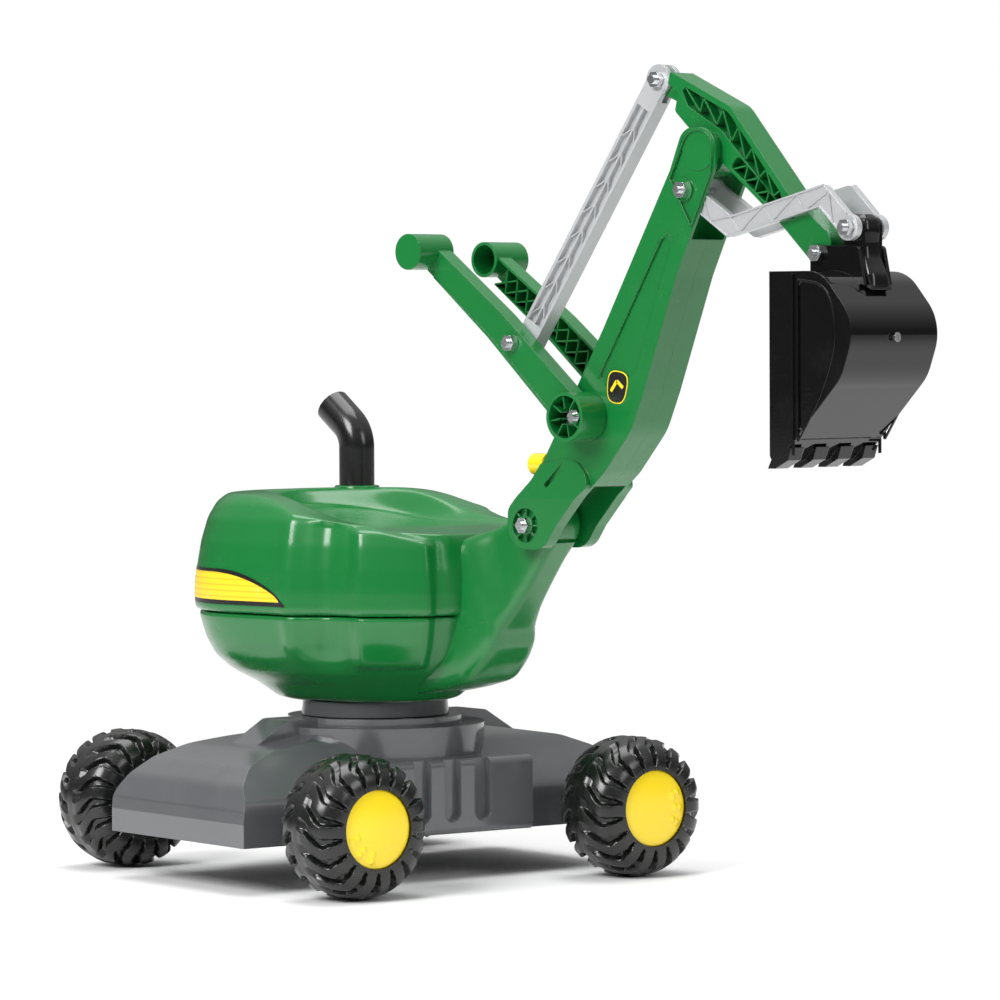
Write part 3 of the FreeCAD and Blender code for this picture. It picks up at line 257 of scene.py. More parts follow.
def plastic(name, colour, shade, rough, grain, coat=0.0, edge=1.0, wave=0.35, dust=0.0, **extra):
    """Moulded plastic: colour drift, rubbed patches, scratches, grain and a slow wave."""
    shader = new_shader(name)
    drift = shader.noise(DRIFT, 3.0)
    rubbed = shader.noise(RUBBED, 5.0, 0.62).ramp(0.5, 0.72)
    scratch = shader.noise(SCRATCHES, 2.0, 0.5, (1.0, 1.0, 5.0)).ramp(0.66, 0.70)
    fine = shader.noise(GRAIN, 2.0)
    slow = shader.noise(WAVES, 1.0)
    base = shader.blend(drift.ramp(0.3, 0.7), (*colour, 1.0), (*shade, 1.0))
    if dust:
        base = shader.blend(rubbed * dust, base, DUST)
    roughness = rough + rubbed * 0.08 + scratch * 0.03 + fine * 0.03
    height = fine * grain + slow * wave
    normal = shader.bumps(height, RELIEF, 1.0, edge * MM)
    return shader.finish(Base_Color=base, Roughness=roughness, Normal=normal, Coat_Weight=coat,
                         Coat_Roughness=0.12, **extra)


GREEN = plastic("green_shell", (0.005, 0.160, 0.031), (0.004, 0.146, 0.027), rough=0.20,
                grain=0.05, coat=0.15, wave=0.12)
GREY = plastic("grey_shell", (0.092, 0.094, 0.100), (0.080, 0.082, 0.088), rough=0.15,
               grain=0.04, coat=0.5, wave=0.12, dust=0.05)
BLACK = plastic("black_gloss", (0.004, 0.004, 0.004), (0.003, 0.003, 0.003), rough=0.05,
                grain=0.01, wave=0.08, Specular_IOR_Level=0.45)
EXHAUST = plastic("black_satin", (0.008, 0.008, 0.008), (0.006, 0.006, 0.006), rough=0.17,
                  grain=0.03, coat=0.1, wave=0.1)
YELLOW = plastic("yellow_plastic", (0.93, 0.70, 0.010), (0.90, 0.65, 0.008), rough=0.22,
                 grain=0.03, coat=0.3, wave=0.1)
SILVER = plastic("silver_plastic", (0.50, 0.51, 0.52), (0.44, 0.45, 0.46), rough=0.28,
                 grain=0.05, coat=0.25, wave=0.1, Metallic=0.3)
TYRE = plastic("tyre_black", (0.006, 0.007, 0.006), (0.004, 0.005, 0.004), rough=0.24,
               grain=0.06, coat=0.15, edge=0.6, wave=0.15, dust=0.015)
print("seven plastics")

# %% [markdown]
# ## Bright zinc
# The bolts and nuts are zinc plated steel: nearly white metal with fine turning lines and a
# roughness that varies in small cloudy patches.
# %% Zinc
def make_zinc():
    """Plated steel: a cloudy roughness and fine lines left by turning."""
    shader = new_shader("bright_zinc")
    cloud = shader.noise(160.0, 4.0)
    lines = shader.noise(500.0, 2.0, 0.5, (1.0, 9.0, 1.0))
    base = shader.blend(cloud.ramp(0.35, 0.65), (0.72, 0.73, 0.74, 1.0), (0.55, 0.56, 0.58, 1.0))
    normal = shader.bumps(lines, 0.08 * MM, 0.6, 0.4 * MM)
    return shader.finish(Base_Color=base, Metallic=1.0, Roughness=0.16 + cloud * 0.16,
                         Normal=normal)


ZINC = make_zinc()
FINISH = {"body_green": GREEN, "chassis_grey": GREY, "tyre_black": TYRE, "cap_yellow": YELLOW,
          "link_silver": SILVER, "bucket_black": BLACK, "zinc": ZINC}
for entry in frame["record"]["subparts"]:
    finish = EXHAUST if entry["node"] == "exhaust_pipe" else FINISH[entry["material_slot"]]
    skin = NODES[entry["node"]].data.materials
    skin.clear()
    skin.append(finish)

# %% [markdown]
# ## Tyres
# The wheels are hollow blow-moulded plastic with a deep tread. A section through one is a fat
# rounded form, and the tread is that form with valleys pressed in between the lugs. Each lug is a
# bar of nearly constant width: straight and radial on the side wall, then bent where it runs up
# to a thin ridge round the middle, where the two halves of the mould met. The two sides are
# staggered by half a lug.
# %% Tyre surface
LUGS = 18
TYRE_WIDTH = 76.0
CAP_RADIUS = 35.6
ROUNDNESS = 0.79
LUG_HALF, LUG_SPREAD = 5.2, 0.8
LUG_BEND = math.radians(16.0)
TREAD_DEPTH, CROWN_DROP = 6.2, 1.0
RIDGE_TALL, RIDGE_WIDE = 0.9, 1.3


def tyre_grid(radius, half, rows=88, columns=LUGS * 20):
    """Section angle p runs from -90 at the inner side to 90 at the outer side. The section is a
    superellipse, out = half * sin(p)^q and r = rim + (radius - rim) * cos(p)^q, less a valley
    wherever the distance round from the nearest lug's middle is more than half a lug."""
    rim = CAP_RADIUS - 1.0
    p = np.linspace(-math.pi / 2, math.pi / 2, rows)[:, None]
    turn = np.linspace(0, 2 * math.pi, columns, endpoint=False)[None, :]
    out = half * np.sign(p) * np.abs(np.sin(p)) ** ROUNDNESS
    tall = rim + (radius - rim) * np.abs(np.cos(p)) ** ROUNDNESS
    share = np.abs(p) / (math.pi / 2)
    bend = LUG_BEND * (1 - smooth(share, 0.05, 0.52))
    stagger = np.where(p > 0, 0.0, math.pi / LUGS)
    pitch = 2 * math.pi / LUGS
    apart = np.abs((turn + bend + stagger) % pitch - pitch / 2) * tall
    lug_half = LUG_HALF + LUG_SPREAD * (1 - share)
    valley = smooth(apart, lug_half - 0.5, lug_half + 1.6)
    depth = TREAD_DEPTH * smooth(share, 0.02, 0.16) * (1 - smooth(share, 0.90, 1.0))
    sink = valley * depth * (0.75 + 0.25 * np.sin(math.pi * share))
    ridge = RIDGE_TALL * np.exp(-(out / RIDGE_WIDE) ** 2)
    drop = CROWN_DROP * (1 - smooth(share, 0.0, 0.12))
    out_way = np.sin(p) * np.abs(np.sin(p)) ** 0.5
    tall_way = np.abs(np.cos(p)) ** 0.5
    long = np.maximum(np.hypot(out_way, tall_way), 1e-6)
    return (tall - (sink + drop - ridge) * tall_way / long,
            out + np.zeros_like(turn) - sink * out_way / long, turn + np.zeros_like(p))


def wheel_points(centre, outward_way, tall, out, turn):
    """Polar numbers to the frame: r goes round the axle and out goes along it."""
    level = np.cross(outward_way, UP)
    round_way = np.cos(turn)[..., None] * UP + np.sin(turn)[..., None] * level
    return centre + (tall[..., None] * round_way + out[..., None] * outward_way) * MM

def add_rows(tall, out, before, after):
    """Puts rows that each have one radius and one distance out before and after a grid."""
    def level(rows, part):
        return np.array([row[part] for row in rows]).reshape(-1, 1) + np.zeros(tall.shape[1])
    return (np.concatenate([level(before, 0), tall, level(after, 0)]),
            np.concatenate([level(before, 1), out, level(after, 1)]))


def make_tyre(name, side):
    """A tyre: its tread grid, then flat side discs that run in to the axle."""
    low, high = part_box(f"wheel_{name}")
    middle = np.array(JOINTS[f"roll_{name}"]["pos_m"])
    edge = TYRE_WIDTH / 2
    tall, out, turn = tyre_grid((high.z - low.z) / 2 / MM, edge)
    inner = [(7.0, 9 - edge), (14.0, 8 - edge), (CAP_RADIUS - 4, 8 - edge),
             (CAP_RADIUS - 2, 1 - edge)]
    outer = [(CAP_RADIUS - 1, edge - 5), (CAP_RADIUS - 6, edge - 6), (7.0, edge - 6)]
    tall, out = add_rows(tall, out, inner, outer)
    turn = np.repeat(turn[:1], len(tall), axis=0)
    points, faces = closed_grid(wheel_points(middle, ALONG * side, tall, out, turn))
    piece = make_piece(f"tyre_{name}", points, faces, TYRE, f"wheel_unit_{name}", "tyre_black", 50)
    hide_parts(f"wheel_{name}")
    return len(faces), middle


print(LUGS, "lugs on each side of a tyre", TYRE_WIDTH, "mm wide")

# %% [markdown]
# ## Hubcaps
# The cap is a shallow yellow dish with a rounded edge. Near its rim it carries three pairs of
# small half-round studs.
# %% Hubcap surface
CAP_SINK, CAP_DOME, CAP_EDGE = 2.9, 2.6, 1.6
STUD_REACHES, STUD_TURN, STUD_TALL, STUD_WIDE = (22.5, 28.0), 29.0, 1.7, 2.5


def make_hubcap(name, side, middle, first_stud):
    """Polar grid: height = dome * (1 - s^2) less a rounded rim, plus a hump for each stud,
    tall * e^-(d / wide)^3 at a distance d from its middle."""
    share = np.concatenate([np.linspace(0.02, 0.92, 62), np.linspace(0.93, 1.0, 14)])[:, None]
    turn = np.linspace(0, 2 * math.pi, 240, endpoint=False)[None, :]
    tall = share * CAP_RADIUS + np.zeros_like(turn)
    height = CAP_DOME * (1 - share ** 2) - CAP_EDGE * smooth(share, 0.94, 1.0) + 0 * turn
    across, upward = tall * np.sin(turn), tall * np.cos(turn)
    for number in range(3):
        angle = math.radians(first_stud + number * STUD_TURN)
        for reach in STUD_REACHES:
            x, y = reach * math.sin(angle), reach * math.cos(angle)
            apart = ((across - x) ** 2 + (upward - y) ** 2) / STUD_WIDE ** 2
            height += STUD_TALL * np.exp(-apart ** 1.5)
    edge = TYRE_WIDTH / 2
    back = [(CAP_RADIUS, edge - 7), (8.0, edge - 7.5)]
    tall, out = add_rows(tall, edge - CAP_SINK + height, [], back)
    grid = wheel_points(middle, ALONG * side, tall, np.minimum(out, edge),
                        np.repeat(turn, len(tall), axis=0))
    points, faces = closed_grid(grid)
    piece = make_piece(f"cap_{name}", points, faces, YELLOW, f"wheel_unit_{name}", "cap_yellow", 60)
    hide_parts(f"hubcap_{name}")


for wheel, side, stud in (("front_left", -1, 60), ("front_right", 1, -120),
                          ("rear_left", -1, 115), ("rear_right", 1, 108)):
    count, middle = make_tyre(wheel, side)
    make_hubcap(wheel, side, middle, stud)
    print(wheel, "tyre faces", count, "middle", np.round(middle, 4))

# %% [markdown]
# ## The seat body
# The body is two blow-moulded shells that meet at a parting line. Seen from above it is a rounded
# box that narrows towards the boom. `plan` gives its reach in any direction: every straight side
# of the outline pulls with (n . u / d), and the pulls are added as a p-norm, which is the polygon
# itself for a huge p and rounds its corners as p falls.
# %% Plan of the body
BODY_REAR, BODY_FRONT, BODY_HALF, REAR_HALF, NOSE_HALF = 166.0, 150.0, 136.0, 70.0, 52.0
WAIST, BASE = 242.0, 158.0
PANEL_OUT, RIB_OUT, HAUNCH_OUT, HOLLOW_IN, HORN_IN = 7.5, 4.0, 2.0, 9.0, 2.0
HALF_PLAN = [(-BODY_REAR, -REAR_HALF), (-92, -BODY_HALF), (60, -BODY_HALF + 3),
             (BODY_FRONT, -NOSE_HALF)]
PLAN = np.array(HALF_PLAN + [(x, -y) for x, y in HALF_PLAN[::-1]], float)


def plan(turn, power=11.0):
    """Reach of the rounded outline: (sum of (n . u / d)^p)^(-1/p) over its sides."""
    ends = np.roll(PLAN, -1, axis=0) - PLAN
    normal = np.stack([ends[:, 1], -ends[:, 0]], axis=1)
    normal /= np.linalg.norm(normal, axis=1)[:, None]
    away = (normal * PLAN).sum(1)
    way = np.stack([np.cos(turn), np.sin(turn)], axis=-1)
    pull = np.clip((way @ normal.T) / away, 0, None)
    return (pull ** power).sum(-1) ** (-1 / power)


def haunch_and_panels(turn, z):
    """How far the side stands in or out, by direction from the front and height: a raised panel at
    each front corner, a hollow behind it, the haunch's rib, and a hollow beside the horn."""
    away = np.degrees(np.abs((turn + math.pi) % (2 * math.pi) - math.pi))
    arch = 300 + 14 * smooth(away, 20, 44)
    panel = smooth(away, 22, 27) * (1 - smooth(away, 50, 55)) * (1 - smooth(z, arch, arch + 11))
    panel = panel * smooth(z, 189, 196)
    hollow = np.exp(-((away - 64) / 8.0) ** 2) * smooth(z, 176, 214) * (1 - smooth(z, 318, 342))
    rib = np.exp(-((away - 80) / 4.5) ** 2) * smooth(z, 190, 215) * (1 - smooth(z, 330, 350))
    beside = (1 - smooth(away, 10, 20)) * smooth(z, 200, 230)
    haunch = smooth(away, 72, 82) * smooth(z, 174, 184)
    return (PANEL_OUT * panel - HOLLOW_IN * hollow + RIB_OUT * rib + HAUNCH_OUT * haunch
            - HORN_IN * beside)


print("plan reach front, side, rear:", np.round(plan(np.radians([0.0, 90.0, 180.0])), 1))

# %% [markdown]
# The top is a saddle: a horseshoe rim round the back, and a dish that falls towards the boom. Its
# height is a function of place, so the seat shell's rows can simply be pushed down onto it.
# %% The saddle
DISH_TOP, RIM_TOP = 333.0, 348.0
MEAN_REACH = 140.0
SOFTNESS = 4.0


def saddle(x, y):
    """Height of the seat's top: a dish that falls forwards, and the rim that wraps its back."""
    dish = DISH_TOP - 15 * smooth(x, -120, 30) - 6 * smooth(x, 60, 150)
    edge = np.hypot(np.clip(-(x + 10), 0, None) / 120.0, y / 98.0)
    step = 1 - smooth(x, -62, 78)
    rim = (RIM_TOP - dish) * smooth(edge, 0.70, 0.92) * step
    lip = 4.0 * smooth(np.abs(y), 78, 92) * (1 - step) * (1 - smooth(x, 80, 130))
    return dish + rim + lip


def shell_grid(stations, rows, columns, top=None):
    """Rows follow a section given as (share of the plan, height); columns go round. A top, if
    there is one, cuts the heights off: the lower of the two, blended where they are close."""
    stations = np.array(stations, float)
    step = np.hypot(*(np.diff(stations, axis=0) * (MEAN_REACH, 1.0)).T)
    length = np.concatenate([[0], np.cumsum(step)])
    here = np.linspace(0, length[-1], rows)
    share = np.interp(here, length, stations[:, 0])
    height = np.interp(here, length, stations[:, 1])
    for _ in range(3):
        share[1:-1] = (share[:-2] + 2 * share[1:-1] + share[2:]) / 4
        height[1:-1] = (height[:-2] + 2 * height[1:-1] + height[2:]) / 4
    turn = np.linspace(0, 2 * math.pi, columns, endpoint=False)
    reach = share[:, None] * plan(turn)[None, :]
    z = height[:, None] + np.zeros_like(reach)
    reach = reach + haunch_and_panels(turn[None, :], z) * smooth(share, 0.35, 0.6)[:, None]
    x, y = reach * np.cos(turn), reach * np.sin(turn)
    if top is not None:
        cover = top(x, y)
        z = -SOFTNESS * np.logaddexp(-z / SOFTNESS, -cover / SOFTNESS)
        z = np.where(height[:, None] < 300, np.minimum(z, height[:, None]), z)
    return np.stack([x, y, z], axis=-1)


SEAT_SECTION = [(0.90, WAIST - 2), (0.985, WAIST - 2), (1.0, WAIST + 1), (0.998, 262),
                (0.988, 280), (0.965, 302), (0.925, 324), (0.875, 338), (0.80, 350), (0.68, 356),
                (0.4, 360), (0.02, 360)]
TUB_SECTION = [(0.03, BASE), (0.47, BASE), (0.55, BASE + 3), (0.66, 174), (0.80, 187),
               (0.885, 199), (0.935, 214), (0.965, 230), (0.978, WAIST - 3), (0.90, WAIST - 2)]
seat_points = shell_grid(SEAT_SECTION, 150, 384, top=saddle)
seat = make_piece("seat_skin", *closed_grid(at(seat_points)), GREEN, "upper", "body_green", 60)
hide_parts("seat_shell")
tub_points = shell_grid(TUB_SECTION, 90, 384)
tub = make_piece("tub_skin", *closed_grid(at(tub_points)), GREEN, "upper", "body_green", 60)
print("seat and tub:", len(seat.data.polygons), len(tub.data.polygons), "faces")

# %% [markdown]
# ## The horn
# In front the tub grows into a horn that holds the boom's pivot. It is a loft: stations along it
# each give an upper and a lower point and a half-width, and the ring at each is a superellipse,
# which is nearly a box with rounded corners.
# %% Horn
def loft_between(stations, rows, columns, squareness=0.28):
    """Rings across a row of (upper x, upper z, lower x, lower z, half-width) stations: a point is
    mean + c * half the rise + s * half-width, with c and s the cosine and sine, each raised to a
    small power that fills out the corners."""
    stations = np.array(stations, float)
    spread = np.linspace(0, len(stations) - 1, rows)
    line = np.stack([np.interp(spread, np.arange(len(stations)), column) for column in stations.T],
                    axis=1)
    for _ in range(4):
        line[1:-1] = (line[:-2] + 2 * line[1:-1] + line[2:]) / 4
    turn = np.linspace(0, 2 * math.pi, columns, endpoint=False)
    c = np.sign(np.cos(turn)) * np.abs(np.cos(turn)) ** squareness
    s = np.sign(np.sin(turn)) * np.abs(np.sin(turn)) ** squareness
    upper, lower, half = line[:, None, 0:2], line[:, None, 2:4], line[:, None, 4]
    middle = (upper + lower) / 2 + (upper - lower) / 2 * c[None, :, None]
    sideways = half * s[None, :] + 0 * middle[..., 0]
    return np.stack([middle[..., 0], sideways, middle[..., 1]], axis=-1)


def revolve(profile, centre, upright, columns=72):
    """Each (radius, place along the axis) of a profile becomes a circle. The axis goes through a
    centre and points up, or else sideways."""
    turn = np.linspace(0, 2 * math.pi, columns, endpoint=False)
    radius, along = np.array(profile, float).T[..., None]
    first, second, along = radius * np.cos(turn), radius * np.sin(turn), along + 0 * turn
    ring = [first, second, along] if upright else [first, along, second]
    return np.stack(ring, axis=-1) + centre


HORN = [(206, 343, 240, 306, 16.5), (196, 330, 226, 290, 16.5), (184, 324, 210, 268, 17.0),
        (170, 318, 194, 246, 19.5), (152, 313, 180, 226, 27.0), (136, 308, 177, 212, 31.0),
        (122, 300, 168, 198, 34.0), (100, 288, 150, 180, 38.0), (70, 262, 118, 172, 40.0),
        (40, 240, 84, 166, 36.0)]
horn_points = at(loft_between(HORN, 70, 96))
horn = make_piece("horn", *closed_grid(horn_points), GREEN, "upper", "body_green", 50)
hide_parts("lower_shell")
HORN_EYE = (222.0, 0.0, 322.0)
HALF_BARREL = [(4.2, -20.8), (10.2, -20.8), (11.0, -20.0), (11.0, -16.0), (20.0, -16.0),
               (21.0, -15.0)]
barrel = revolve(HALF_BARREL + [(r, -y) for r, y in HALF_BARREL[::-1]], HORN_EYE, upright=False)
make_piece("horn_eye", *closed_grid(at(barrel)), GREEN, "upper", "body_green", 40)
print("horn", len(horn.data.polygons), "faces")

# %% [markdown]
# The exhaust stands in a low round collar that grows out of the seat: a short profile turned
# about the pipe's own upright line.
# %% Collar
PIPE_REACH = 16.5
pipe_low, pipe_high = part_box("exhaust_pipe")
PIPE_X = pipe_high.x / MM - SLEW_X - PIPE_REACH
PIPE_Y = (pipe_low.y + pipe_high.y) / 2 / MM
pipe_foot = pipe_low.z / MM
COLLAR = [(17.5, -26), (23.5, -26), (21.6, -4), (20.8, -0.8), (19.6, 0), (5.0, 0)]
collar = revolve(COLLAR, (PIPE_X, PIPE_Y, pipe_foot), upright=True)
make_piece("exhaust_collar", *closed_grid(at(collar)), GREEN, "upper", "body_green", 40)
print("collar at", round(PIPE_X, 1), round(PIPE_Y, 1), round(pipe_foot, 1))

# %% [markdown]
# ## Stripe
# A printed stripe wraps the back of the seat. It is a strip of the seat's own surface, lifted by
# a fraction of a millimetre: the black border first and the yellow field a little higher.
# %% Stripe
SIDE_ROWS = slice(4, 70)
TAPER = 0.66
LINE_PITCH = 2.6 * MM


def make_stripe_finish():
    """Yellow print with fine level lines, a little worn."""
    shader = new_shader("stripe_yellow")
    height = shader.node("ShaderNodeSeparateXYZ", {}, {0: shader.place}).out("Z")
    lines = shader.node("ShaderNodeMath", dict(operation="PINGPONG"), {0: height, 1: LINE_PITCH})
    fine = (lines * (1 / MM)).ramp(0.2, 0.7)
    worn = shader.noise(70.0, 4.0, 0.6).ramp(0.60, 0.70)
    base = shader.blend(fine, (0.72, 0.42, 0.01, 1), (0.90, 0.62, 0.02, 1))
    base = shader.blend(worn * 0.25, base, (0.75, 0.66, 0.30, 1))
    return shader.finish(Base_Color=base, Roughness=0.30 + worn * 0.15,
                         Normal=shader.bumps(fine, 0.1 * MM, 0.5))


STRIPE = make_stripe_finish()
INK = plastic("stripe_ink", (0.006, 0.006, 0.006), (0.010, 0.010, 0.010), rough=0.25, grain=0.03,
              edge=0.0)


def seat_reach(turn, z):
    """Reach of the seat's own grid at a direction and height, from its nearest two columns."""
    side = seat_points[SIDE_ROWS]
    reach, height = np.hypot(side[..., 0], side[..., 1]), side[..., 2]
    spot = (turn / (2 * math.pi) * side.shape[1]) % side.shape[1]
    first = spot.astype(int)
    part = spot - first
    found = []
    for column, share, heights in zip(first, part, z.T):
        beside = (column + 1) % side.shape[1]
        found.append((1 - share) * np.interp(heights, height[:, column], reach[:, column])
                     + share * np.interp(heights, height[:, beside], reach[:, beside]))
    return np.array(found).T


def stripe_grid(tip, low, high, lift, rows=24, columns=420):
    """A band round the back: its upper edge falls to the lower edge at the two front tips."""
    turn = np.linspace(tip, 2 * math.pi - tip, columns)
    ahead = np.clip((turn - tip) / TAPER, 0, 1)
    behind = np.clip((2 * math.pi - tip - turn) / TAPER, 0, 1)
    full = np.sin(np.minimum(ahead, behind) * math.pi / 2) ** 0.75
    z = low + (high - low) * np.linspace(0, 1, rows)[:, None] * full[None, :]
    reach = seat_reach(turn, z) + lift
    return np.stack([reach * np.cos(turn), reach * np.sin(turn), z], axis=-1)

for name, tip, low, high, lift, finish in (
        ("stripe_border", 1.385, 247.5, 279.5, 0.35, INK),
        ("stripe_field", 1.44, 251.5, 276.5, 0.65, STRIPE)):
    band = open_grid(at(stripe_grid(tip, low, high, lift)))
    make_piece(name, *band, finish, "upper", "body_green", 180)
    print(name, len(band[1]), "faces")

# %% [markdown]
# ## Ribs
# The arm's parts are open channels stiffened by thin ribs, as injection-moulded plastic is. A rib
# is a bar between two points, so a whole lattice is one array of segments. `bars` gives every
# segment its eight corners at once: ends plus or minus half a thickness across the segment, at a
# lower and an upper depth.
# %% Bars
def bars(segments, thick, low, high):
    """Eight corners for each (x, z, x, z) segment and its six faces, all segments together."""
    segments = np.array(segments, float).reshape(-1, 4)
    start, stop = segments[:, :2], segments[:, 2:]
    way = stop - start
    way /= np.linalg.norm(way, axis=1)[:, None]
    aside = np.stack([-way[:, 1], way[:, 0]], axis=1) * thick / 2
    flat = np.stack([start - aside, stop - aside, stop + aside, start + aside], axis=1)
    low, high = np.broadcast_to(low, len(flat)), np.broadcast_to(high, len(flat))
    level = [np.concatenate([flat[..., :1], np.broadcast_to(y[:, None, None], flat[..., :1].shape),
                             flat[..., 1:]], axis=-1) for y in (low, high)]
    points = np.concatenate(level, axis=1).reshape(-1, 3)
    six = np.array([(0, 1, 2, 3), (7, 6, 5, 4), (0, 4, 5, 1), (1, 5, 6, 2), (2, 6, 7, 3),
                    (3, 7, 4, 0)])
    faces = (np.arange(len(flat))[:, None, None] * 8 + six[None]).reshape(-1, 4)
    return points, faces


def lattice(line_a, line_b, count, start_on_a=True):
    """A zigzag of segments between two polylines, at even shares of their lengths."""
    def along(line, share):
        line = np.array(line, float)
        length = np.concatenate([[0], np.cumsum(np.linalg.norm(np.diff(line, axis=0), axis=1))])
        return np.stack([np.interp(share * length[-1], length, column) for column in line.T],
                        axis=1)
    share = np.linspace(0.02, 0.98, count + 1)
    upper, lower = along(line_a, share), along(line_b, share)
    take = (np.arange(count + 1) % 2 == (0 if start_on_a else 1))[:, None]
    zigzag = np.where(take, upper, lower)
    return np.concatenate([zigzag[:-1], zigzag[1:]], axis=1)


def join(parts):
    """Several (points, faces) pairs as one."""
    points, faces, base = [], [], 0
    for some_points, some_faces in parts:
        points.append(some_points)
        faces.append(some_faces + base)
        base += len(some_points)
    return np.concatenate(points), np.concatenate(faces)


def chain(points, thick, low, high):
    """Bars joining each point of an open line to the next, leaving out a point that repeats."""
    points = np.array(points, float)
    moved = np.linalg.norm(np.diff(points, axis=0), axis=1) > 0.01
    points = np.concatenate([points[:1], points[1:][moved]])
    return bars(np.concatenate([points[:-1], points[1:]], axis=1), thick, low, high)


def near(pivot, *offsets):
    """Points (x, z) given by how far they are from a pivot."""
    return [(pivot[0] + x, pivot[1] + z) for x, z in offsets]


def on_side(side, inner, outer):
    """The lower and the upper of two depths, on the left (side 1) or the right (side -1)."""
    return sorted((side * inner, side * outer))


def rib_piece(name, parts, finish, body, slot, move=lambda points: points):
    """Joins bars into a piece that rides on a body, after a function has moved their points."""
    points, faces = join(parts)
    points = move(points)
    make_piece(name, at(points), outward(points, faces), finish, body, slot, 30)
    print(name, len(faces), "faces")


print("one bar has", len(bars([(0, 0, 1, 0)], 1.0, 0.0, 1.0)[1]), "faces")

# %% [markdown]
# The stick has two channels on each side, between the pin at the boom's head and the bucket's
# bolt. Both hold a zigzag of ribs.
# %% Stick ribs
HEAD, BUCKET_BOLT = (418.0, 646.0), (546.5, 556.0)
UPPER_TOP = near(HEAD, (-27, 56), (26, 30)) + near(BUCKET_BOLT, (-36, 42))
UPPER_LOW = near(HEAD, (-19, 40), (18, 17)) + near(BUCKET_BOLT, (-36, 31))
LOWER_TOP = near(HEAD, (40, -8), (66, -32)) + near(BUCKET_BOLT, (-36, 28))
LOWER_LOW = near(HEAD, (30, -16), (52, -37)) + near(BUCKET_BOLT, (-42, 27))
stick_ribs = []
for side in (-1, 1):
    depths = on_side(side, 1.8, 12.6)
    stick_ribs += [bars(lattice(UPPER_TOP, UPPER_LOW, 13), 1.5, *depths),
                   bars(lattice(LOWER_TOP, LOWER_LOW, 9, False), 1.5, *depths)]
rib_piece("stick_ribs", stick_ribs, GREEN, "stick_arm", "body_green")

# %% [markdown]
# Each link is a bent bar from the boom to the bucket's horn. Two thin rims follow its bends on the
# outer face, with a zigzag between them.
# %% Link ribs
LINK_FOOT, LINK_END = (402.0, 612.0), (581.0, 577.0)
LINK_LINE = near(LINK_FOOT, (0, 0), (49, -32)) + near(LINK_END, (-28, 27), (0, 0))
LINK_EDGE = 7.9


def beside_line(line, distance):
    """A polyline moved sideways: each corner goes along its mitre."""
    line = np.array(line, float)
    way = np.diff(line, axis=0)
    way /= np.linalg.norm(way, axis=1)[:, None]
    normal = np.stack([-way[:, 1], way[:, 0]], axis=1)
    mean = np.concatenate([normal[:1], normal[:-1] + normal[1:], normal[-1:]])
    mean /= np.linalg.norm(mean, axis=1)[:, None]
    own = np.concatenate([normal, normal[-1:]])
    return line + mean * distance / (mean * own).sum(1)[:, None]


def pulled_in(line, first, last):
    """A polyline whose ends move a share of the way towards their neighbours."""
    line = line.copy()
    line[0] += (line[1] - line[0]) * first
    line[-1] += (line[-2] - line[-1]) * last
    return line


link_ribs = []
link_sides = [beside_line(LINK_LINE, offset) for offset in (LINK_EDGE, -LINK_EDGE)]
for low, high in ((-21.4, -20.0), (20.0, 21.4)):
    link_ribs += [chain(pulled_in(side, 0.14, 0.20), 1.5, low, high) for side in link_sides[::-1]]
    zigzag = lattice(*[pulled_in(side, 0.24, 0.30) for side in link_sides], 9)
    link_ribs.append(bars(zigzag, 1.0, low * 0.995, high * 0.98))
rib_piece("link_ribs", link_ribs, SILVER, "links", "link_silver")

# %% [markdown]
# The rod leans sideways as it climbs, so its bars are worked out in the rod's own flat frame (how
# far along, how far across) and each end is then moved to the depth the rod has there.
# %% Rod ribs
ROD_FOOT, ROD_TOP = np.array([221.0, 482.0]), np.array([358.0, 708.0])
ROD_LENGTH = np.linalg.norm(ROD_TOP - ROD_FOOT)
FOOT_DEPTH, ROD_HALF, ROD_CHANNEL = -24.8, 7.3, 8.0


def on_rod(points):
    """(along, depth from the rod's middle, across) to body millimetres: the middle's depth is
    foot * (1 - along / length)."""
    along, depth, across = points.T
    way_x, way_z = (ROD_TOP - ROD_FOOT) / ROD_LENGTH
    x = ROD_FOOT[0] + along * way_x - across * way_z
    z = ROD_FOOT[1] + along * way_z + across * way_x
    return np.stack([x, FOOT_DEPTH * (1 - along / ROD_LENGTH) + depth, z], axis=1)


rod_ribs = []
for low, high in ((-ROD_HALF, -2.0), (2.0, ROD_HALF)):
    rod_ribs.append(bars([(20, 0, ROD_LENGTH - 28, 0)], 1.8, low, high))
    for upper, first in ((ROD_CHANNEL, True), (0.0, False)):
        rung_a, rung_b = [[(22, across), (ROD_LENGTH - 30, across)]
                          for across in (upper, upper - ROD_CHANNEL)]
        rungs = lattice(rung_a, rung_b, 16, first)[::2]
        rod_ribs.append(bars(rungs, 1.2, low * 0.93, high * 0.93))
rib_piece("rod_ribs", rod_ribs, SILVER, "push_rod", "link_silver", on_rod)

# %% [markdown]
# The levers are open on their inner side, where crossed ribs show from the front. Their hubs are
# barrels with eight thin spokes round the bolt. The left lever is fixed to the boom, turned back
# by two degrees.
# %% Lever ribs
LEVER_BOLT, GRIP = (290.5, 418.0), (117.0, 563.0)
EDGE_TOP = near(GRIP, (22, -9), (94, -63)) + near(LEVER_BOLT, (-2, 16))
EDGE_LOW = near(GRIP, (6, -20), (76, -71)) + near(LEVER_BOLT, (-22, 4))
FIRST_SPOKE = 0.2


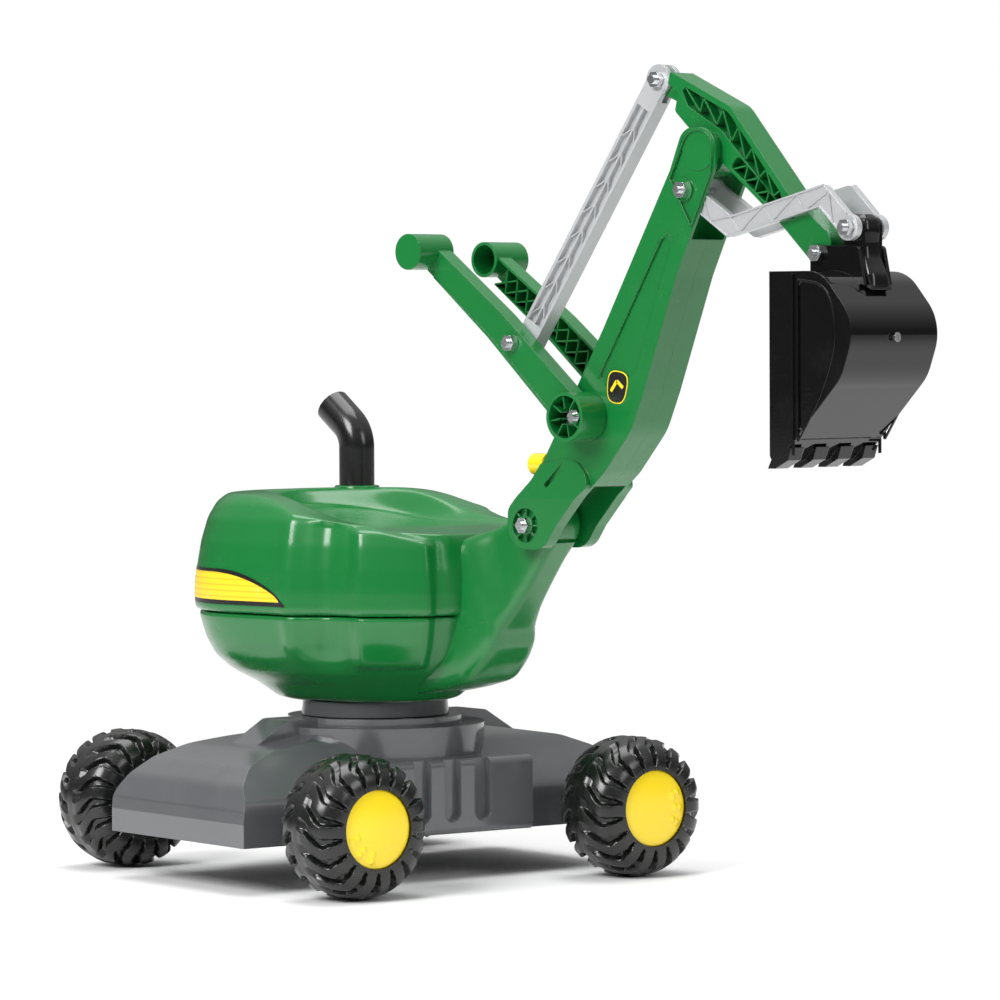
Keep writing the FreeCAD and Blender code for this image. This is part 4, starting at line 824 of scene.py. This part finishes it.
def spokes(centre, inner_reach, outer_reach, count):
    """Segments from an inner to an outer circle, evenly round a centre."""
    angle = np.linspace(0, 2 * math.pi, count, endpoint=False) + FIRST_SPOKE
    way = np.stack([np.cos(angle), np.sin(angle)], axis=1)
    return np.concatenate([centre + way * inner_reach, centre + way * outer_reach], axis=1)


def turned(points, degrees):
    """Points turned about the lever bolt's axis, positive from Z towards X."""
    angle = math.radians(degrees)
    x, z = points[:, 0] - LEVER_BOLT[0], points[:, 2] - LEVER_BOLT[1]
    return np.stack([LEVER_BOLT[0] + x * math.cos(angle) + z * math.sin(angle), points[:, 1],
                     LEVER_BOLT[1] - x * math.sin(angle) + z * math.cos(angle)], axis=1)


for name, body, side, turn_by in (("lever_ribs_right", "lever", -1, 0.0),
                                  ("lever_ribs_left", "boom", 1, -2.0)):
    depths = on_side(side, 34.0, 46.0)
    crossed = [bars(lattice(EDGE_TOP, EDGE_LOW, 12, first), 1.4, *depths)
               for first in (True, False)]
    hub = bars(spokes(LEVER_BOLT, 7.4, 19.6, 8), 1.2, *on_side(side, 38.0, 53.0))
    rib_piece(name, [*crossed, hub], GREEN, body, "body_green",
              lambda points: turned(points, turn_by))

# %% [markdown]
# The bucket's horn flares out where it meets the bucket's top. It is a loft in the same black
# plastic.
# %% Bucket horn
FLARE = [(575, 588, 587, 588, 6.0), (570.5, 584, 591.5, 584, 9.5), (569, 575, 593, 575, 10.5),
         (570, 563, 592, 563, 10.0), (569, 553, 593, 553, 10.5), (566, 547, 596, 546, 11.5),
         (562, 542, 600, 538, 12.5), (561, 536, 601, 528, 13.0)]
flare_points = at(loft_between(FLARE, 60, 64, 0.4))
flare = make_piece("bucket_horn", *closed_grid(flare_points), BLACK, "bucket", "bucket_black", 50)
print("bucket_horn", len(flare.data.polygons), "faces")

# %% [markdown]
# Raised edges catch the light round the boom's head pocket, beside its long recess, and along the
# bucket's seam and side panel. Each is a chain of bars between the points of an open line.
# %% Raised edges
def arc(x, z, radius, start, stop, count):
    """Points on a circle between two angles in degrees."""
    angle = np.radians(np.linspace(start, stop, count))
    return np.stack([x + radius * np.cos(angle), z + radius * np.sin(angle)], axis=1)


def curve_through(corners, count=40):
    """A quadratic B-spline: between corner middles the line bends towards the corner."""
    corners = np.array(corners, float)
    middles = (corners[:-1] + corners[1:]) / 2
    t = np.linspace(0, 1, count // len(corners) + 2)[:, None]
    runs = [(1 - t) ** 2 * middles[i] + 2 * t * (1 - t) * corners[i + 1] + t ** 2 * middles[i + 1]
            for i in range(len(middles) - 1)]
    return np.concatenate([corners[:1], *runs, corners[-1:]])


POCKET = np.concatenate([near(HEAD, (-7, -65), (-31, -24)), arc(*HEAD, 17.2, 158, 0, 14),
                         near(HEAD, (15.5, -20), (-7, -65))])
RECESS = near(HEAD, (-117, -195), (-42, -75), (-34, -70), (-29, -78))
SIDE_PANEL = curve_through([(557.5, 400), (585, 441), (601, 491), (589, 530), (557.5, 534)])
SEAM, PANEL_FRONT = [(551.8, 388), (551.8, 539)], [(557.2, 400), (557.2, 534)]
boom_edges, bucket_edges = [], []
for side in (-1, 1):
    boom_edges += [chain(POCKET, 1.4, *on_side(side, 22.6, 25.7)),
                   chain(RECESS, 1.4, *on_side(side, 21.8, 24.2))]
    bucket_edges += [chain(SEAM, 2.0, *on_side(side, 55.0, 57.0)),
                     chain(SIDE_PANEL, 1.6, *on_side(side, 54.9, 56.6)),
                     chain(PANEL_FRONT, 1.8, *on_side(side, 54.9, 56.8))]
rib_piece("boom_edges", boom_edges, GREEN, "boom", "body_green")
rib_piece("bucket_edges", bucket_edges, BLACK, "bucket", "bucket_black")

# %% [markdown]
# A small shield-shaped badge sits on each side of the boom. It is a plain dark plate with a yellow
# rim and a plain raised chevron.
# %% Badge
def plate(outline, y_low, y_high):
    """A flat outline carried from one depth to another, with a middle point on each face."""
    outline = np.array(outline, float)
    rings = [np.stack([outline[:, 0], np.full(len(outline), y), outline[:, 1]], axis=1)
             for y in (y_low, y_high)]
    return closed_grid(np.stack(rings))


def shield(x, z, half_wide, half_tall, lean, count=48):
    """A superellipse, |a|^3 + |b|^3 = 1, narrowed a little towards its foot and leaned."""
    angle = np.linspace(0, 2 * math.pi, count, endpoint=False)
    a = np.sign(np.cos(angle)) * np.abs(np.cos(angle)) ** (2 / 3)
    b = np.sign(np.sin(angle)) * np.abs(np.sin(angle)) ** (2 / 3)
    a = a * (1 + 0.10 * b) * half_wide
    b = b * half_tall
    turn = math.radians(lean)
    return np.stack([x + a * math.cos(turn) + b * math.sin(turn),
                     z - a * math.sin(turn) + b * math.cos(turn)], axis=1)


BADGE_FACE = 23.5
BADGE_PLACE = dict(x=324.0, z=443.5, lean=9.0)
CHEVRON = [(317, 440, 324, 449), (324, 449, 331, 443)]
for side, word in ((-1, "right"), (1, "left")):
    face = BADGE_FACE * side
    rim = plate(shield(half_wide=11.6, half_tall=14.2, **BADGE_PLACE), face - 0.3 * side,
                face + 0.35 * side)
    field = plate(shield(half_wide=10.6, half_tall=13.2, **BADGE_PLACE), face, face + 0.55 * side)
    make_piece(f"badge_rim_{word}", at(rim[0]), rim[1], YELLOW, "boom", "cap_yellow", 30)
    make_piece(f"badge_{word}", at(field[0]), field[1], INK, "boom", "body_green", 30)
    mark = bars(CHEVRON, 3.0, *sorted((face, face + 0.8 * side)))
    rib_piece(f"badge_mark_{word}", [mark], YELLOW, "boom", "cap_yellow")
print("two badges")

# %% [markdown]
# ## Floor
# A pale matt floor takes the shadow. To the camera it fades into plain white from half a metre
# out, so no far edge shows, while lamps and reflections still meet the real floor.
# %% Floor
FLOOR_HALF = 14.0
FADE_START, FADE_END = 0.5, 1.5
WHITE = (1, 1, 1, 1)
floor_mesh = bpy.data.meshes.new("floor")
floor_mesh.from_pydata([(-FLOOR_HALF, -FLOOR_HALF, 0), (FLOOR_HALF, -FLOOR_HALF, 0),
                        (FLOOR_HALF, FLOOR_HALF, 0), (-FLOOR_HALF, FLOOR_HALF, 0)],
                       [], [(0, 1, 2, 3)])
floor = bpy.data.objects.new("floor", floor_mesh)
bpy.context.scene.collection.objects.link(floor)
pale = new_shader("pale_floor")
far = pale.node("ShaderNodeVectorMath", dict(operation="LENGTH"), {0: pale.place}).out("Value")
cloudy = pale.blend(pale.noise(1.5, 2.0), (0.88, 0.88, 0.88, 1), (0.90, 0.90, 0.90, 1))
matt = pale.node("ShaderNodeBsdfPrincipled", {}, {"Base Color": cloudy, "Roughness": 0.6})
glow = pale.node("ShaderNodeEmission", {}, {"Color": WHITE, "Strength": 1.0})
seen = pale.node("ShaderNodeLightPath", {}, {}).out("Is Camera Ray")
both = pale.node("ShaderNodeMixShader", {},
                 {0: far.ramp(FADE_START, FADE_END) * seen, 1: matt, 2: glow})
pale.node("ShaderNodeOutputMaterial", {}, {"Surface": both})
floor_mesh.materials.append(pale.owner)
print("floor", 2 * FLOOR_HALF, "m wide")

# %% [markdown]
# ## Surround
# The camera sees a white surround. Everything else sees one that is dark at the horizon and
# bright overhead, and that difference gives the gloss its dark and light bands.
# %% Surround
HORIZON, OVERHEAD = 0.11, 0.66
world = bpy.data.worlds.new("surround")
bpy.context.scene.world = world
sky = Shader(world)
height = sky.node("ShaderNodeSeparateXYZ", {}, {0: sky.place.out("Generated")}).out("Z")
seen = sky.node("ShaderNodeLightPath", {}, {}).out("Is Camera Ray")
strength = HORIZON + height.ramp(0.10, 0.75) * OVERHEAD
strength = strength * (1 - seen) + seen * 1.0
surround = sky.node("ShaderNodeBackground", {}, {"Color": WHITE, "Strength": strength})
sky.node("ShaderNodeOutputWorld", {}, {"Surface": surround})
bpy.context.scene.view_settings.view_transform = "Standard"
print("surround from", HORIZON, "to", HORIZON + OVERHEAD)

# %% [markdown]
# ## Light
# A large soft lamp stands to the right of the toy, a dimmer one in front of it, and one hangs
# over it. The gloss of the plastic comes from the shapes of these lamps.
# %% Light
def lamp(name, place, target, size, watts):
    """A square soft lamp at a place, turned to face a target."""
    data = bpy.data.lights.new(name, "AREA")
    data.shape, data.size, data.energy = "SQUARE", size, watts
    made = bpy.data.objects.new(name, data)
    made.location = place
    made.rotation_mode = "QUATERNION"
    made.rotation_quaternion = (Vector(target) - Vector(place)).to_track_quat("-Z", "Y")
    bpy.context.scene.collection.objects.link(made)


for name, place, target, size, watts in (
        ("key", (0.2, -2.8, 2.2), (0, 0, 0.35), 1.5, 100),
        ("fill", (2.8, 0.2, 1.5), (0, 0, 0.4), 1.2, 18),
        ("top", (-0.3, 0.2, 3.0), (0, 0, 0.2), 2.0, 58)):
    lamp(name, place, target, size, watts)
    print(name, watts, "W")

# %% [markdown]
# ## Camera
# A long lens, well back and nearly level, from the front right. Its heading, tilt and roll are
# turned into one direction and one turn about it.
# %% Camera
camera_data = bpy.data.cameras.new("camera")
camera_data.lens, camera_data.sensor_width = 181.4, 36.0
camera_data.clip_end = 50
camera = bpy.data.objects.new("camera", camera_data)
camera.location = (3.0913, -3.2270, 0.4913)
heading, tilt, roll = math.radians(134.0), math.radians(-1.904), math.radians(-0.273)
ahead = Vector((math.cos(heading) * math.cos(tilt), math.sin(heading) * math.cos(tilt),
                math.sin(tilt)))
camera.rotation_mode = "QUATERNION"
camera.rotation_quaternion = ahead.to_track_quat("-Z", "Y") @ Quaternion((0, 0, 1), roll)
bpy.context.scene.collection.objects.link(camera)
bpy.context.scene.camera = camera
print("camera", camera_data.lens, "mm")
